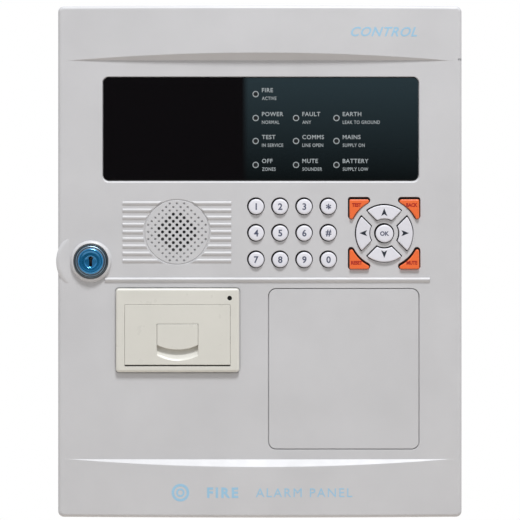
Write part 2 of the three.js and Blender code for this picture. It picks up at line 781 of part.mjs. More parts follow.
function addEnclosure(panel) {
  const cellBack = CHASSIS.front - GAP;
  piece(panel, 'back_box', backBox(), 'steel');
  piece(panel, 'chassis_plate', chassisPlate(), 'zinc');
  piece(panel, 'main_board', mainBoard(), 'board');
  piece(panel, 'loop_terminals', terminalStrip(), 'terminal');
  piece(panel, 'power_supply', powerSupply(), 'zinc');
  piece(panel, 'battery_left', battery(), 'battery', [-113, cellBack, -165]);
  piece(panel, 'battery_right', battery(), 'battery', [-10, cellBack, -165]);
  piece(panel, 'battery_bracket', batteryBracket(), 'zinc');
  piece(panel, 'earth_stud', earthStud(), 'brass', [133, -BOX.sheet - GAP, -110]);
  const mains = groupAt(panel, 87, -46 - GAP, 0);
  piece(mains, 'rocker_housing', rockerHousing(), 'rubber');
  const paddle = piece(mains, 'power_rocker', rocker(), 'black', [0, -4.6, 0]);
  paddle.rotation.x = THREE.MathUtils.degToRad(8);
  for (const [side, name] of [[-1, 'left'], [1, 'right']]) {
    const place = [side * GROMMET.x, GROMMET.y, BOX.height / 2 - BOX.sheet / 2];
    piece(panel, `cable_grommet_${name}`, grommet(), 'rubber', place);
  }
  for (const [name, z] of Object.entries(HINGE.centres)) {
    const place = [HINGE.x, DOOR.rim, z];
    piece(panel, `hinge_${name}_leaf`, hingeLeaf(), 'cover', place);
    piece(panel, `hinge_${name}_pin`, hingePin(), 'zinc', place);
  }
}

function addDoor(door) {
  piece(door, 'door_cover', doorCover(), 'cover');
  piece(door, 'display_window', displayWindow(), 'black');
  piece(door, 'lcd_module', lcdModule(), 'dark');
  piece(door, 'indicator_board', indicatorBoard(), 'board');
  piece(door, 'keypad_board', keypadBoard(), 'board');
  piece(door, 'key_mat', keyMat(), 'silicone');
  piece(door, 'speaker', loudspeaker(), 'dark', [SPEAKER.x, 0, SPEAKER.z]);
  piece(door, 'blanking_plate', blankingPlate(), 'cover', [PLATE.x, 0, PLATE.z]);
  for (const [name, z] of Object.entries(HINGE.centres)) {
    piece(door, `hinge_${name}_knuckle`, hingeKnuckle(), 'cover', [HINGE.x, 0, z]);
  }
}

function addLock(door) {
  const lock = groupAt(door, LOCK.x, 0, LOCK.z);
  piece(lock, 'lock_barrel', lockBarrel(), 'dark');
  piece(lock, 'lock_nut', lockNut(), 'zinc');
  piece(lock, 'lock_plug', lockPlug(), 'blue');
  piece(lock, 'lock_cam', lockCam(), 'zinc');
}

function addPrinter(door) {
  const printer = groupAt(door, PRINTER.x, -DOOR.depth, PRINTER.z);
  piece(printer, 'printer_bezel', printerBezel(), 'ivory');
  piece(printer, 'printer_mechanism', printerMechanism(), 'dark');
  const roll = groupAt(printer, 0, PAPER.y, PAPER.z);
  const spindleEnd = PRINTER.body.width / 2 - PRINTER.body.wall - GAP;
  piece(roll, 'paper_spindle', rodX(PAPER.spindle, -spindleEnd, spindleEnd), 'dark');
  piece(roll, 'paper_roll', paperRoll(), 'paper');
  const { hingeY, hingeZ } = PRINTER.door;
  const lid = groupAt(printer, 0, hingeY, hingeZ);
  piece(lid, 'printer_door', printerDoor(), 'ivory');
  piece(lid, 'printer_latch', printerLatch(), 'ivory', [0, LATCH.pivotY, LATCH.pivotZ]);
  piece(lid, 'platen_roller', platenRoller(), 'rubber', [0, PLATEN.y - hingeY, PLATEN.z - hingeZ]);
}

function addKeys(door) {
  KEY_NAMES.forEach((names, row) => {
    names.forEach((name, column) => {
      const place = [KEY_COLUMNS[column], 0, KEY_ROWS[row]];
      piece(door, name, roundKey(KEY.radius, KEY.flange), 'keycap', place);
    });
  });
  const pad = groupAt(door, PAD.x, 0, PAD.z);
  piece(pad, 'key_enter', roundKey(PAD.enter, PAD.enterHole + 0.7), 'keycap');
  const arrows = ['key_up', 'key_right', 'key_down', 'key_left'];
  const corners = ['key_upper_right', 'key_lower_right', 'key_lower_left', 'key_upper_left'];
  quarterTurns.forEach((turn, i) => {
    piece(pad, arrows[i], shapedKey(arrowOutline, ARROW.play), 'keycap').rotation.y = turn;
    piece(pad, corners[i], shapedKey(cornerOutline, 0), 'orange').rotation.y = turn;
  });
}

const panel = new THREE.Group();
addEnclosure(panel);
const door = groupAt(panel, 0, DOOR.rim, 0);
addDoor(door);
addLock(door);
addPrinter(door);
addKeys(door);

export default panel;
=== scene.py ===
import json
import math

import bmesh
import bpy
from mathutils import Matrix, Vector
from mathutils.geometry import tessellate_polygon


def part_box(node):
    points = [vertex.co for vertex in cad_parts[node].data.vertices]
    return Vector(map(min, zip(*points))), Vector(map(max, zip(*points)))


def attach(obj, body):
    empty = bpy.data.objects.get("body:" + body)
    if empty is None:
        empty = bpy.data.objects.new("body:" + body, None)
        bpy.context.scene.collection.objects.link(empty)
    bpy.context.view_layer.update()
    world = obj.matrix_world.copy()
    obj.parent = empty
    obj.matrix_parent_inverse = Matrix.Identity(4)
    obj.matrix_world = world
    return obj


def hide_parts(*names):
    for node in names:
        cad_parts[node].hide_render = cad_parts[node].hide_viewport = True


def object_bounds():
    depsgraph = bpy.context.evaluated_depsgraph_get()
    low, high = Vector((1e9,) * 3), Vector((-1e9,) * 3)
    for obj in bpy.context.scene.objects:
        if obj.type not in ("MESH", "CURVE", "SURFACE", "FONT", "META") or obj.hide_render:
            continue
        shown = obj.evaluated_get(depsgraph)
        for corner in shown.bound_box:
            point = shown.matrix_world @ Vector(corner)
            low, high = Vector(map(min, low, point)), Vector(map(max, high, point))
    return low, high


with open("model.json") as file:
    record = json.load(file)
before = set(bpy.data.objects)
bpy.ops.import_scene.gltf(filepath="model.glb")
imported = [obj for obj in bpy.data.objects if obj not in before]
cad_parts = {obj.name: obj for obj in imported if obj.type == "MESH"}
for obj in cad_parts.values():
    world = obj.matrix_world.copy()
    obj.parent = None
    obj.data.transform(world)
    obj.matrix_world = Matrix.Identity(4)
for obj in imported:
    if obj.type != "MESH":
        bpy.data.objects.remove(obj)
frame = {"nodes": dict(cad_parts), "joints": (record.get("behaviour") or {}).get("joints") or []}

CAD_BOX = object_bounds()
MM = 0.001

# ---- places taken from the frame, in millimetres


def box(node):
    """A node's lowest and highest corners, in millimetres."""
    low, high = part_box(node)
    return low / MM, high / MM


def middle(node):
    low, high = box(node)
    return (low + high) / 2


def place(node):
    """A node's middle across the front, as (x, z)."""
    centre = middle(node)
    return centre.x, centre.z


FACE = box("blanking_plate")[0].y          # the cover's front face
RIM = box("door_cover")[1].y               # its rear rim
HALF_WIDE = box("door_cover")[1].x
HALF_HIGH = box("door_cover")[1].z
CROWN = FACE - box("door_cover")[0].y      # how far the header stands out at its middle
PAD = place("key_enter")
LOCK = place("lock_plug")
WINDOW = place("display_window")
SPEAKER = place("speaker")
ROUND_KEYS = ["key_%d" % n for n in range(10)] + ["key_star", "key_hash"]

# ---- sizes of the cover's features

EDGE = 3.0           # radius along the front edges
CORNER = 4.5         # radius of the panel's corners, seen from the front
WALL = 3.0
SKIN = 4.0
BAND_HALF = 149      # the crowned bands die out here
HEADER_LINE = 157.2
FOOTER_LINE = -154.5
BAND_RUN = 6.1       # height of the sloping edge at the middle
RIM_RADIUS = 0.35    # rounding at the mouth of a moulded hole
RIDGE_LEFT, RIDGE_RIGHT, RIDGE_TOP = -121, 132.9, -12.5
RIDGE_HEIGHT, RIDGE_RISE = 4, 1.3
CAP_TOP = 0.8        # how far a cap's middle lies behind the front of its key's box
BOARD_THICK = 1.6    # of each circuit board


# ---- outlines, as (x, z) points


def arc(centre, radius, start, end, steps):
    """Points on an arc, with the angles in degrees."""
    points = []
    for i in range(steps + 1):
        angle = math.radians(start + (end - start) * i / steps)
        points.append((centre[0] + radius * math.cos(angle), centre[1] + radius * math.sin(angle)))
    return points


def circle(radius, steps=32):
    return arc((0, 0), radius, 0, 360, steps)[:-1]


def round_rect(width, height, radius, steps=6):
    x, z = width / 2 - radius, height / 2 - radius
    corners = [(x, z, 0), (-x, z, 90), (-x, -z, 180), (x, -z, 270)]
    return [p for cx, cz, start in corners for p in arc((cx, cz), radius, start, start + 90, steps)]


def growing_rect(width, height, radius, steps=6):
    """A rounded rectangle's outline, as a function of how far it grows on each side."""
    return lambda grow: round_rect(width + 2 * grow, height + 2 * grow, radius + grow, steps)


def turned_by(points, degrees):
    """The outline turned clockwise as seen from the front."""
    c, s = math.cos(math.radians(degrees)), math.sin(math.radians(degrees))
    return [(x * c + z * s, z * c - x * s) for x, z in points]


def softened(points, radius):
    """Rounds off each sharp corner with a short curve."""
    result = []
    for i, point in enumerate(points):
        here = Vector(point)
        back = Vector(points[i - 1]) - here
        ahead = Vector(points[(i + 1) % len(points)]) - here
        if math.degrees(back.angle(ahead)) > 150:
            result.append(point)
            continue
        start = here + back.normalized() * min(radius, back.length * 0.45)
        end = here + ahead.normalized() * min(radius, ahead.length * 0.45)
        for t in (0, 0.25, 0.5, 0.75, 1):
            result.append(tuple(start * (1 - t) ** 2 + here * 2 * t * (1 - t) + end * t ** 2))
    return result


def arrow_outline(grow):
    """One arrow key, pointing up, about the pad's centre."""
    outer, inner, web = 22.9 + grow, 11 - grow, 2.5 - grow
    far = 45 + math.degrees(math.asin(web / outer))
    near = 45 + math.degrees(math.asin(web / inner))
    points = arc((0, 0), outer, far, 180 - far, 20) + arc((0, 0), inner, 180 - near, near, 10)
    return softened(points, 0.9)


def corner_outline(grow):
    """The upper right corner key: round tips and a hollow side about the pad's centre."""
    half, tip, along, across, outer = 27.95, 2.2, 13.4, 25.75, 1.7
    lean = math.degrees(math.atan2(across, along))
    hollow = math.hypot(across, along) - tip - grow
    return (
        arc((along, across), tip + grow, 90, 180 + lean, 8)
        + arc((0, 0), hollow, lean, 90 - lean, 12)[1:-1]
        + arc((across, along), tip + grow, 270 - lean, 360, 8)
        + arc((half - outer, half - outer), outer + grow, 0, 90, 5)
    )


# ---- building meshes from rings


class Shell:
    """A mesh of rings of points, joined by strips and sheets, in millimetres from its origin."""

    def __init__(self, x=0, y=0, z=0):
        self.bm = bmesh.new()
        self.slot = 0
        self.origin = Vector((x, y, z))

    def ring(self, outline, y, at=(0, 0)):
        return [self.bm.verts.new((at[0] + x, y, at[1] + z)) for x, z in outline]

    def circles(self, profile, steps=48, at=(0, 0)):
        """A round ring for each (radius, y)."""
        return [self.ring(circle(max(radius, 1e-3), steps), y, at) for radius, y in profile]

    def rounded(self, outline, y, radius, steps, at=(0, 0)):
        """The rings of a rounded edge, from the side to the front. outline(grow) gives its outline."""
        rings = []
        for i in range(steps + 1):
            angle = math.radians(90 * i / steps)
            grow, deep = radius * (math.cos(angle) - 1), radius * (1 - math.sin(angle))
            rings.append(self.ring(outline(grow), y + deep, at))
        return rings

    def face(self, corners):
        if len(set(corners)) > 2:
            try:
                self.bm.faces.new(corners).material_index = self.slot
            except ValueError:
                pass

    def bridge(self, a, b):
        for i in range(len(a)):
            j = (i + 1) % len(a)
            self.face((a[i], a[j], b[j], b[i]))

    def loft(self, rings):
        for a, b in zip(rings, rings[1:]):
            self.bridge(a, b)
        return rings[-1]

    def sheet(self, outer, holes=()):
        """A flat face bounded by outer, with holes in it. All are rings already made."""
        loops = [outer, *holes]
        points = [v for loop in loops for v in loop]
        flat = [[Vector((v.co.x, v.co.z, 0)) for v in loop] for loop in loops]
        for corners in tessellate_polygon(flat):
            self.face([points[i] for i in corners])

    def capped(self, rings):
        """Joins the rings and closes the last one."""
        self.sheet(self.loft(rings))

    def mouth(self, outline, at, front, back, radius=RIM_RADIUS, steps=4):
        """A hole with a rounded mouth. outline(grow) gives its outline. Returns its front and back rings."""
        rings = []
        for i in range(steps + 1):
            angle = math.radians(90 * i / steps)
            grow, deep = radius * (1 - math.sin(angle)), radius * (1 - math.cos(angle))
            rings.append(self.ring(outline(grow), front + deep, at))
        rings.append(self.ring(outline(0), back, at))
        self.loft(rings)
        return rings[0], rings[-1]

    def button(self, outline, at, top, bottom, radius, steps=5):
        """A closed solid with a rounded front edge."""
        rings = [self.ring(outline(0), bottom, at)] + self.rounded(outline, top, radius, steps, at)
        self.capped(rings)
        self.sheet(rings[0])

    def turn(self, profile, steps=48, at=(0, 0)):
        """A turned solid about the Y axis from a profile of (radius, y). A closed profile makes a ring."""
        if profile[0] == profile[-1]:
            rings = self.circles(profile[:-1], steps, at)
            self.loft(rings + rings[:1])
        else:
            rings = self.circles(profile, steps, at)
            self.capped(rings)
            self.sheet(rings[0])

    def block(self, corner, opposite, bevel=0.0):
        """A box between two opposite corners, with bevelled edges."""
        made = bmesh.ops.create_cube(self.bm, size=1)["verts"]
        for v in made:
            v.co = Vector(a + (share + 0.5) * (b - a) for a, b, share in zip(corner, opposite, v.co))
        for f in {f for v in made for f in v.link_faces}:
            f.material_index = self.slot
        if bevel:
            edges = list({e for v in made for e in v.link_edges})
            bmesh.ops.bevel(self.bm, geom=edges, offset=bevel, segments=2, profile=0.5, affect="EDGES")

    def add(self, mesh, matrix):
        """Copies a mesh in, in the current material slot."""
        faces, verts = len(self.bm.faces), len(self.bm.verts)
        self.bm.from_mesh(mesh)
        self.bm.verts.ensure_lookup_table()
        self.bm.faces.ensure_lookup_table()
        bmesh.ops.transform(self.bm, matrix=matrix, verts=self.bm.verts[verts:])
        for face in self.bm.faces[faces:]:
            face.material_index = self.slot


def piece(name, shell, materials, body, replaces=(), sharp=30):
    """Makes the object from a shell in millimetres, and has it ride on its body."""
    bmesh.ops.translate(shell.bm, vec=shell.origin, verts=shell.bm.verts)
    bmesh.ops.remove_doubles(shell.bm, verts=shell.bm.verts, dist=2e-4)
    bmesh.ops.dissolve_degenerate(shell.bm, edges=shell.bm.edges, dist=1e-5)
    bmesh.ops.recalc_face_normals(shell.bm, faces=shell.bm.faces)
    mesh = bpy.data.meshes.new(name)
    shell.bm.to_mesh(mesh)
    shell.bm.free()
    mesh.transform(Matrix.Scale(MM, 4))
    mesh.shade_smooth()
    mesh.set_sharp_from_angle(angle=math.radians(sharp))
    for key in materials.split():
        mesh.materials.append(MATERIALS[key])
    obj = bpy.data.objects.new(name, mesh)
    bpy.context.scene.collection.objects.link(obj)
    obj.modifiers.new("normals", "WEIGHTED_NORMAL").keep_sharp = True
    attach(obj, body)
    if replaces:
        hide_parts(*replaces)


# ---- materials


def shader(name, colour, roughness, metallic=0.0, **sockets):
    """A Principled material with constants on its own sockets. Returns it with its tree's parts."""
    mat = bpy.data.materials.new(name)
    mat.use_nodes = True
    tree = mat.node_tree
    bsdf = tree.nodes["Principled BSDF"]
    bsdf.inputs["Base Color"].default_value = (*colour, 1)
    bsdf.inputs["Roughness"].default_value = roughness
    bsdf.inputs["Metallic"].default_value = metallic
    for key, value in sockets.items():
        bsdf.inputs[key.replace("_", " ")].default_value = value
    coords = tree.nodes.new("ShaderNodeTexCoord").outputs["Object"]
    return mat, tree, bsdf, coords


def noise(tree, coords, size, detail=3.0):
    """A noise whose features are about this size, in millimetres."""
    node = tree.nodes.new("ShaderNodeTexNoise")
    node.inputs["Scale"].default_value = 1 / (size * MM)
    node.inputs["Detail"].default_value = detail
    tree.links.new(coords, node.inputs["Vector"])
    return node.outputs["Fac"]


def ramp(tree, value, low, high, positions=(0.3, 0.7)):
    """Maps a value to a range of colours or greys."""
    node = tree.nodes.new("ShaderNodeValToRGB")
    tree.links.new(value, node.inputs["Fac"])
    for stop, colour, position in zip(node.color_ramp.elements, (low, high), positions):
        stop.color = (*colour, 1) if isinstance(colour, tuple) else (colour, colour, colour, 1)
        stop.position = position
    return node.outputs["Color"]


def mapped(tree, value, low, high, start, end):
    """Maps a value's range from low..high to start..end, and holds it there outside."""
    node = tree.nodes.new("ShaderNodeMapRange")
    for key, number in (("From Min", low), ("From Max", high), ("To Min", start), ("To Max", end)):
        node.inputs[key].default_value = number
    tree.links.new(value, node.inputs["Value"])
    return node.outputs["Result"]


def bumped(tree, bsdf, height, strength, distance):
    """Bump nodes for a height whose full swing is this distance, in millimetres."""
    node = tree.nodes.new("ShaderNodeBump")
    node.inputs["Strength"].default_value = strength
    node.inputs["Distance"].default_value = distance * MM
    tree.links.new(height, node.inputs["Height"])
    tree.links.new(node.outputs["Normal"], bsdf.inputs["Normal"])


def plastic(name, colour, roughness=0.4, grain=0.5, depth=0.02, vary=0.03, **sockets):
    """Moulded plastic: a fine spark-eroded grain, faint mottling and uneven gloss."""
    mat, tree, bsdf, coords = shader(name, colour, roughness, **sockets)
    lighter = tuple(min(1, c * (1 + vary)) for c in colour)
    darker = tuple(c * (1 - vary) for c in colour)
    mottle = noise(tree, coords, 45, 5)
    tree.links.new(ramp(tree, mottle, darker, lighter), bsdf.inputs["Base Color"])
    gloss = noise(tree, coords, 12, 4)
    tree.links.new(ramp(tree, gloss, roughness * 0.88, roughness * 1.12), bsdf.inputs["Roughness"])
    bumped(tree, bsdf, noise(tree, coords, grain, 2), 0.35, depth)
    return mat


def metal(name, colour, roughness=0.3, streak=0.3, metallic=1.0, **sockets):
    """Plated or machined metal with fine streaks and uneven gloss."""
    mat, tree, bsdf, coords = shader(name, colour, roughness, metallic, **sockets)
    cloud = noise(tree, coords, 8, 6)
    darker = tuple(c * 0.93 for c in colour)
    ends = (0.2, 0.8)
    tree.links.new(ramp(tree, cloud, darker, colour, ends), bsdf.inputs["Base Color"])
    tree.links.new(ramp(tree, cloud, roughness * 0.88, roughness * 1.15, ends), bsdf.inputs["Roughness"])
    stretch = tree.nodes.new("ShaderNodeMapping")
    stretch.inputs["Scale"].default_value = (1, 1, 0.04)
    tree.links.new(coords, stretch.inputs["Vector"])
    bumped(tree, bsdf, noise(tree, stretch.outputs["Vector"], streak, 2), 0.15, 0.01)
    return mat


def powder_coat(name, colour):
    """Powder-coated steel with a fine orange peel."""
    mat, tree, bsdf, coords = shader(name, colour, 0.45)
    mottle = noise(tree, coords, 60, 4)
    tree.links.new(ramp(tree, mottle, tuple(c * 0.96 for c in colour), colour), bsdf.inputs["Base Color"])
    bumped(tree, bsdf, noise(tree, coords, 1.2, 3), 0.3, 0.04)
    return mat


def circuit_board(name):
    """Green solder mask over a maze of tracks."""
    mat, tree, bsdf, coords = shader(name, (0.03, 0.2, 0.09), 0.35, Coat_Weight=0.3)
    cells = tree.nodes.new("ShaderNodeTexVoronoi")
    cells.distance = "CHEBYCHEV"
    cells.inputs["Scale"].default_value = 1 / (4 * MM)
    tree.links.new(coords, cells.inputs["Vector"])
    tracks = ramp(tree, cells.outputs["Distance"], (0.03, 0.2, 0.085), (0.018, 0.14, 0.058), (0.33, 0.36))
    tree.links.new(tracks, bsdf.inputs["Base Color"])
    bumped(tree, bsdf, cells.outputs["Distance"], 0.2, 0.05)
    return mat


def acrylic(name):
    """Gloss black acrylic, printed on its back: black over the screen, dark slate to its right, lighter
    towards the top.
    """
    mat, tree, bsdf, coords = shader(name, (0.006, 0.006, 0.007), 0.06)
    split = tree.nodes.new("ShaderNodeSeparateXYZ")
    tree.links.new(coords, split.inputs["Vector"])
    across = mapped(tree, split.outputs["X"], -14 * MM, -9 * MM, 0, 1)
    upward = mapped(tree, split.outputs["Z"], (WINDOW[1] - 42) * MM, (WINDOW[1] + 42) * MM, 0, 1)
    slate = ramp(tree, upward, (0.003, 0.0045, 0.005), (0.022, 0.037, 0.045), (0, 1))
    blend = tree.nodes.new("ShaderNodeMix")
    blend.data_type = "RGBA"
    blend.inputs["A"].default_value = (0.0035, 0.003, 0.0037, 1)
    tree.links.new(across, blend.inputs["Factor"])
    tree.links.new(slate, blend.inputs["B"])
    tree.links.new(blend.outputs["Result"], bsdf.inputs["Base Color"])
    smudge = noise(tree, coords, 35, 4)
    tree.links.new(ramp(tree, smudge, 0.05, 0.1), bsdf.inputs["Roughness"])
    return mat


def paper(name):
    mat, tree, bsdf, coords = shader(name, (0.85, 0.85, 0.83), 0.85)
    fibre = noise(tree, coords, 0.4, 5)
    tree.links.new(ramp(tree, fibre, (0.8, 0.8, 0.78), (0.9, 0.9, 0.88)), bsdf.inputs["Base Color"])
    bumped(tree, bsdf, fibre, 0.3, 0.02)
    return mat


MATERIALS = {
    "cover": plastic("cover_plastic", (0.578, 0.582, 0.6), 0.42),
    "paint": powder_coat("enclosure_paint", (0.555, 0.56, 0.575)),
    "key": plastic("key_plastic", (0.68, 0.68, 0.73), 0.3, 0.3, 0.008, 0.02),
    "orange": plastic("orange_plastic", (0.8, 0.15, 0.04), 0.33, 0.3, 0.008, 0.05),
    "ivory": plastic("ivory_plastic", (0.69, 0.685, 0.635), 0.3, 0.4, 0.012),
    # black rubber for the grommets and the platen roller; behind the keys it is painted shade, so the gaps
    # round the caps read dark
    "rubber": plastic("rubber", (0.02, 0.02, 0.022), 0.7, 0.4, 0.05, 0.15),
    "black": plastic("black_plastic", (0.012, 0.012, 0.013), 0.25, 0.4, 0.01, 0.1),
    "dark_ring": metal("dark_nickel", (0.14, 0.18, 0.21), 0.3),
    "chrome": metal("chrome", (0.28, 0.38, 0.47), 0.42),
    "blue": plastic("lock_blue", (0.012, 0.2, 0.45), 0.22, 0.8, 0.01, 0.25, Coat_Weight=1.0,
                    Coat_Roughness=0.1, Metallic=0.7),
    # black put inside holes (the keyway, the vent slots, the wire entries and a lamp hole) as painted shade
    "void": plastic("keyway_black", (0.004, 0.004, 0.005), 0.6),
    "acrylic": acrylic("window_acrylic"),
    "zinc": metal("zinc_plate", (0.62, 0.63, 0.64), 0.32, 2),
    "dark_metal": metal("dark_metal", (0.12, 0.13, 0.14), 0.4),
    "brass": metal("brass", (0.7, 0.5, 0.2), 0.25),
    "board": circuit_board("circuit_board"),
    "terminal": plastic("terminal_green", (0.04, 0.26, 0.1), 0.4),
    "battery": plastic("battery_case", (0.03, 0.033, 0.037), 0.5),
    "silicone": plastic("silicone", (0.42, 0.42, 0.44), 0.6),
    "paper": paper("thermal_paper"),
    "ink": plastic("key_ink", (0.012, 0.018, 0.03), 0.45),
    "digit": plastic("digit_ink", (0.06, 0.07, 0.12), 0.45),
    "red_ink": plastic("red_ink", (0.36, 0.012, 0.006), 0.45),
    "grey_ink": plastic("grey_ink", (0.33, 0.37, 0.39), 0.5),
    "pale_blue_ink": plastic("pale_blue_ink", (0.33, 0.56, 0.74), 0.45),
    "relay": plastic("relay_blue", (0.02, 0.09, 0.26), 0.35, 0.6, 0.01, 0.1),
    "tape": plastic("winding_tape", (0.72, 0.5, 0.06), 0.45, 0.6, 0.02, 0.1),
    "white": plastic("connector_white", (0.75, 0.74, 0.68), 0.4, 0.4, 0.01, 0.06),
    "red": plastic("red_plastic", (0.5, 0.02, 0.015), 0.4, 0.4, 0.01, 0.1),
    "label": plastic("label_stock", (0.6, 0.6, 0.58), 0.5, 0.3, 0.01, 0.05),
    "lamp": plastic("lamp_lens", (0.014, 0.017, 0.019), 0.15, Coat_Weight=0.6),
}


# ---- lettering


def word_mesh(text, height, bold=0.0, depth=0.05, spacing=1.0, shear=0.0, narrow=1.0):
    """A word as a thin solid in the X-Z plane, centred and facing the front."""
    curve = bpy.data.curves.new("word", "FONT")
    curve.body = text
    curve.size = height / 0.7
    curve.align_x, curve.align_y = "CENTER", "CENTER"
    curve.offset = bold
    curve.extrude = depth / 2
    curve.space_character = spacing
    curve.shear = shear
    curve.resolution_u = 3
    holder = bpy.data.objects.new("word", curve)
    bpy.context.scene.collection.objects.link(holder)
    made = holder.evaluated_get(bpy.context.evaluated_depsgraph_get())
    mesh = bpy.data.meshes.new_from_object(made)
    bpy.data.objects.remove(holder)
    mesh.transform(Matrix.Rotation(math.radians(90), 4, "X") @ Matrix.Diagonal((narrow, 1, 1, 1)))
    return mesh


def write(shell, text, at, y, height, bold=0.0, left=False, **options):
    """Adds a word to a shell at (x, z), with its middle, or its left end, there."""
    mesh = word_mesh(text, height, bold, **options)
    xs, zs = [v.co.x for v in mesh.vertices], [v.co.z for v in mesh.vertices]
    shift = -min(xs) if left else -(min(xs) + max(xs)) / 2
    shell.add(mesh, Matrix.Translation((at[0] + shift, y, at[1] - (min(zs) + max(zs)) / 2)))
    bpy.data.meshes.remove(mesh)


def flat_shape(shell, outline, at, y, depth=0.05):
    """A thin printed shape."""
    front, back = shell.ring(outline, y - depth / 2, at), shell.ring(outline, y + depth / 2, at)
    shell.bridge(front, back)
    shell.sheet(front)
    shell.sheet(back)


# ---- door cover


def crown(x):
    return CROWN * max(0.0, 1 - (x / BAND_HALF) ** 2)


FLAT_WIDE = HALF_WIDE - EDGE
FLAT_HIGH = HALF_HIGH - EDGE
FLAT_CORNER = CORNER - EDGE
COLUMNS = 56


def top_row():
    """The upper edge of the face's flat, from left to right, as ((x, z), outward direction)."""
    x, z = FLAT_WIDE - FLAT_CORNER, FLAT_HIGH - FLAT_CORNER
    row = []
    for cx, start, end in ((-x, 180, 90), (x, 90, 0)):
        for px, pz in arc((cx, z), FLAT_CORNER, start, end, 5):
            way = Vector((px - cx, pz - z)).normalized()
            row.append(((px, pz), (way.x, way.y)))
    straight = [((-x + 2 * x * i / COLUMNS, FLAT_HIGH), (0, 1)) for i in range(1, COLUMNS)]
    return row[:6] + straight + row[6:]


def perimeter():
    """The whole edge of the face's flat, as (point, outward direction, rim's Y), clockwise."""
    top = [(p, n, RIM) for p, n in top_row()]
    bottom = [((x, -z), (nx, -nz), RIM) for (x, z), (nx, nz), _ in reversed(top)]
    above = [((HEADER_LINE + FLAT_HIGH) / 2, RIM), (HEADER_LINE, RIM)]
    below = [(FOOTER_LINE, RIM), ((FOOTER_LINE - FLAT_HIGH) / 2, RIM)]
    hinges = []
    for node in ("hinge_upper_pin", "hinge_lower_pin"):
        low, high = box(node)
        upper, lower, notch = high.z + 0.6, low.z - 1.4, RIM - 3.6
        hinges += [(upper, RIM), (upper, notch), (lower, notch), (lower, RIM)]
    right = [((FLAT_WIDE, z), (1, 0), rim) for z, rim in above + hinges + below]
    left = [((-FLAT_WIDE, z), (-1, 0), rim) for z, rim in reversed(above + below)]
    return top + right + bottom + left


def cover_edges(shell):
    """The rounded front edge, the side walls, the rim and the inside of the walls."""
    rings = []

    def ring(offset, depth):
        rings.append([shell.bm.verts.new((x + nx * offset, depth(x, rim), z + nz * offset))
                      for (x, z), (nx, nz), rim in perimeter()])

    for i in range(9):
        angle = math.radians(90 * i / 8)
        ring(EDGE * math.sin(angle), lambda x, rim: FACE - crown(x) + EDGE * (1 - math.cos(angle)))
    lip = 0.5
    for offset, deep in ((EDGE, lip), (EDGE - lip, 0), (EDGE - WALL + lip, 0), (EDGE - WALL, lip)):
        ring(offset, lambda x, rim: rim - deep)
    ring(EDGE - WALL, lambda x, rim: FACE + SKIN)
    return shell.loft(rings)


def cover_band(shell, line, way):
    """The header (way 1) or the footer (way -1). Returns its row on the face, from left to right."""
    columns = []
    for (x, z), _ in top_row():
        share = crown(x) / CROWN
        run, rise = BAND_RUN * share, crown(x)
        start = abs(line) + 1.07 * run
        levels = [(abs(line), FACE), (abs(line) + 0.05 * run, FACE - 0.02 * rise)]
        levels += [(abs(line) + 0.93 * run, FACE - 0.97 * rise), (start, FACE - rise)]
        levels += [((abs(line) + FLAT_HIGH) / 2, FACE - rise), (z, FACE - rise)]
        columns.append([shell.bm.verts.new((x, y, way * level)) for level, y in levels])
    for a, b in zip(columns, columns[1:]):
        for i in range(len(a) - 1):
            shell.face((a[i], a[i + 1], b[i + 1], b[i]))
    return [column[0] for column in columns]


def sound_field(shell):
    """The disc of sound holes and dimples. Returns its groove's outer ring and the holes' rear rings."""
    radius = (box("speaker")[1].x - box("speaker")[0].x) / 2 + 0.7
    steps = ((0.75, 0), (0.5, 0.06), (0.15, 0.6), (-0.1, 0.65), (-0.4, 0.2), (-0.6, 0.12))
    groove = shell.circles([(radius + out, FACE + deep) for out, deep in steps], 96, SPEAKER)
    disc = shell.loft(groove)
    disc_y = FACE + steps[-1][1]
    field, open_field = 23.7, 15
    fronts, backs = [], []
    for i in range(-9, 10):
        for j in range(-9, 10):
            x, z = i * 2.81, j * 2.78
            distance = math.hypot(x, z)
            if (i + j) % 2 or distance > field:
                continue
            at = (SPEAKER[0] + x, SPEAKER[1] + z)
            if distance <= open_field:
                front, back = shell.mouth(lambda g: circle(1.2 + g, 16), at, disc_y, FACE + SKIN, 0.2, 3)
                backs.append(back)
            else:
                dimple = shell.circles([(1.0, disc_y), (0.86, disc_y + 0.15), (0.75, disc_y + 1.1)], 14, at)
                shell.capped(dimple)
                front = dimple[0]
            fronts.append(front)
    shell.sheet(disc, fronts)
    return groove[0], backs


LOUVRE = [(0, 0), (0.1, 0.5), (0.2, 0.78), (0.32, 0.95), (0.42, 1),
          (0.55, 0.93), (0.75, 0.6), (0.9, 0.25), (1, 0)]


def louvre(shell, left, right, top, height, rise, sink=0.4):
    """A bar on the face, steep above and sloping below. left and right give its ends' X at a Z."""
    rows = []
    for down, share in LOUVRE:
        z = top - down * height
        corners = ((left(z), sink), (left(z), -share * rise), (right(z), -share * rise), (right(z), sink))
        rows.append([shell.bm.verts.new((x, FACE + deep, z)) for x, deep in corners])
    for a, b in zip(rows, rows[1:]):
        shell.bridge(a, b)
    shell.face(rows[0])
    shell.face(rows[-1])


def side_ribs(shell):
    """Nine ribs on each side of the loudspeaker, which end along its circle."""
    clear = 26.6
    outer_left, outer_right = -107.3, -22.4
    first, pitch, height, rise = 47.1, 5.62, 3.5, 0.85

    def reach(z):
        return math.sqrt(clear ** 2 - (z - SPEAKER[1]) ** 2)

    for row in range(9):
        top = first - pitch * row
        louvre(shell, lambda z: outer_left, lambda z: SPEAKER[0] - reach(z), top, height, rise)
        louvre(shell, lambda z: SPEAKER[0] + reach(z), lambda z: outer_right, top, height, rise)


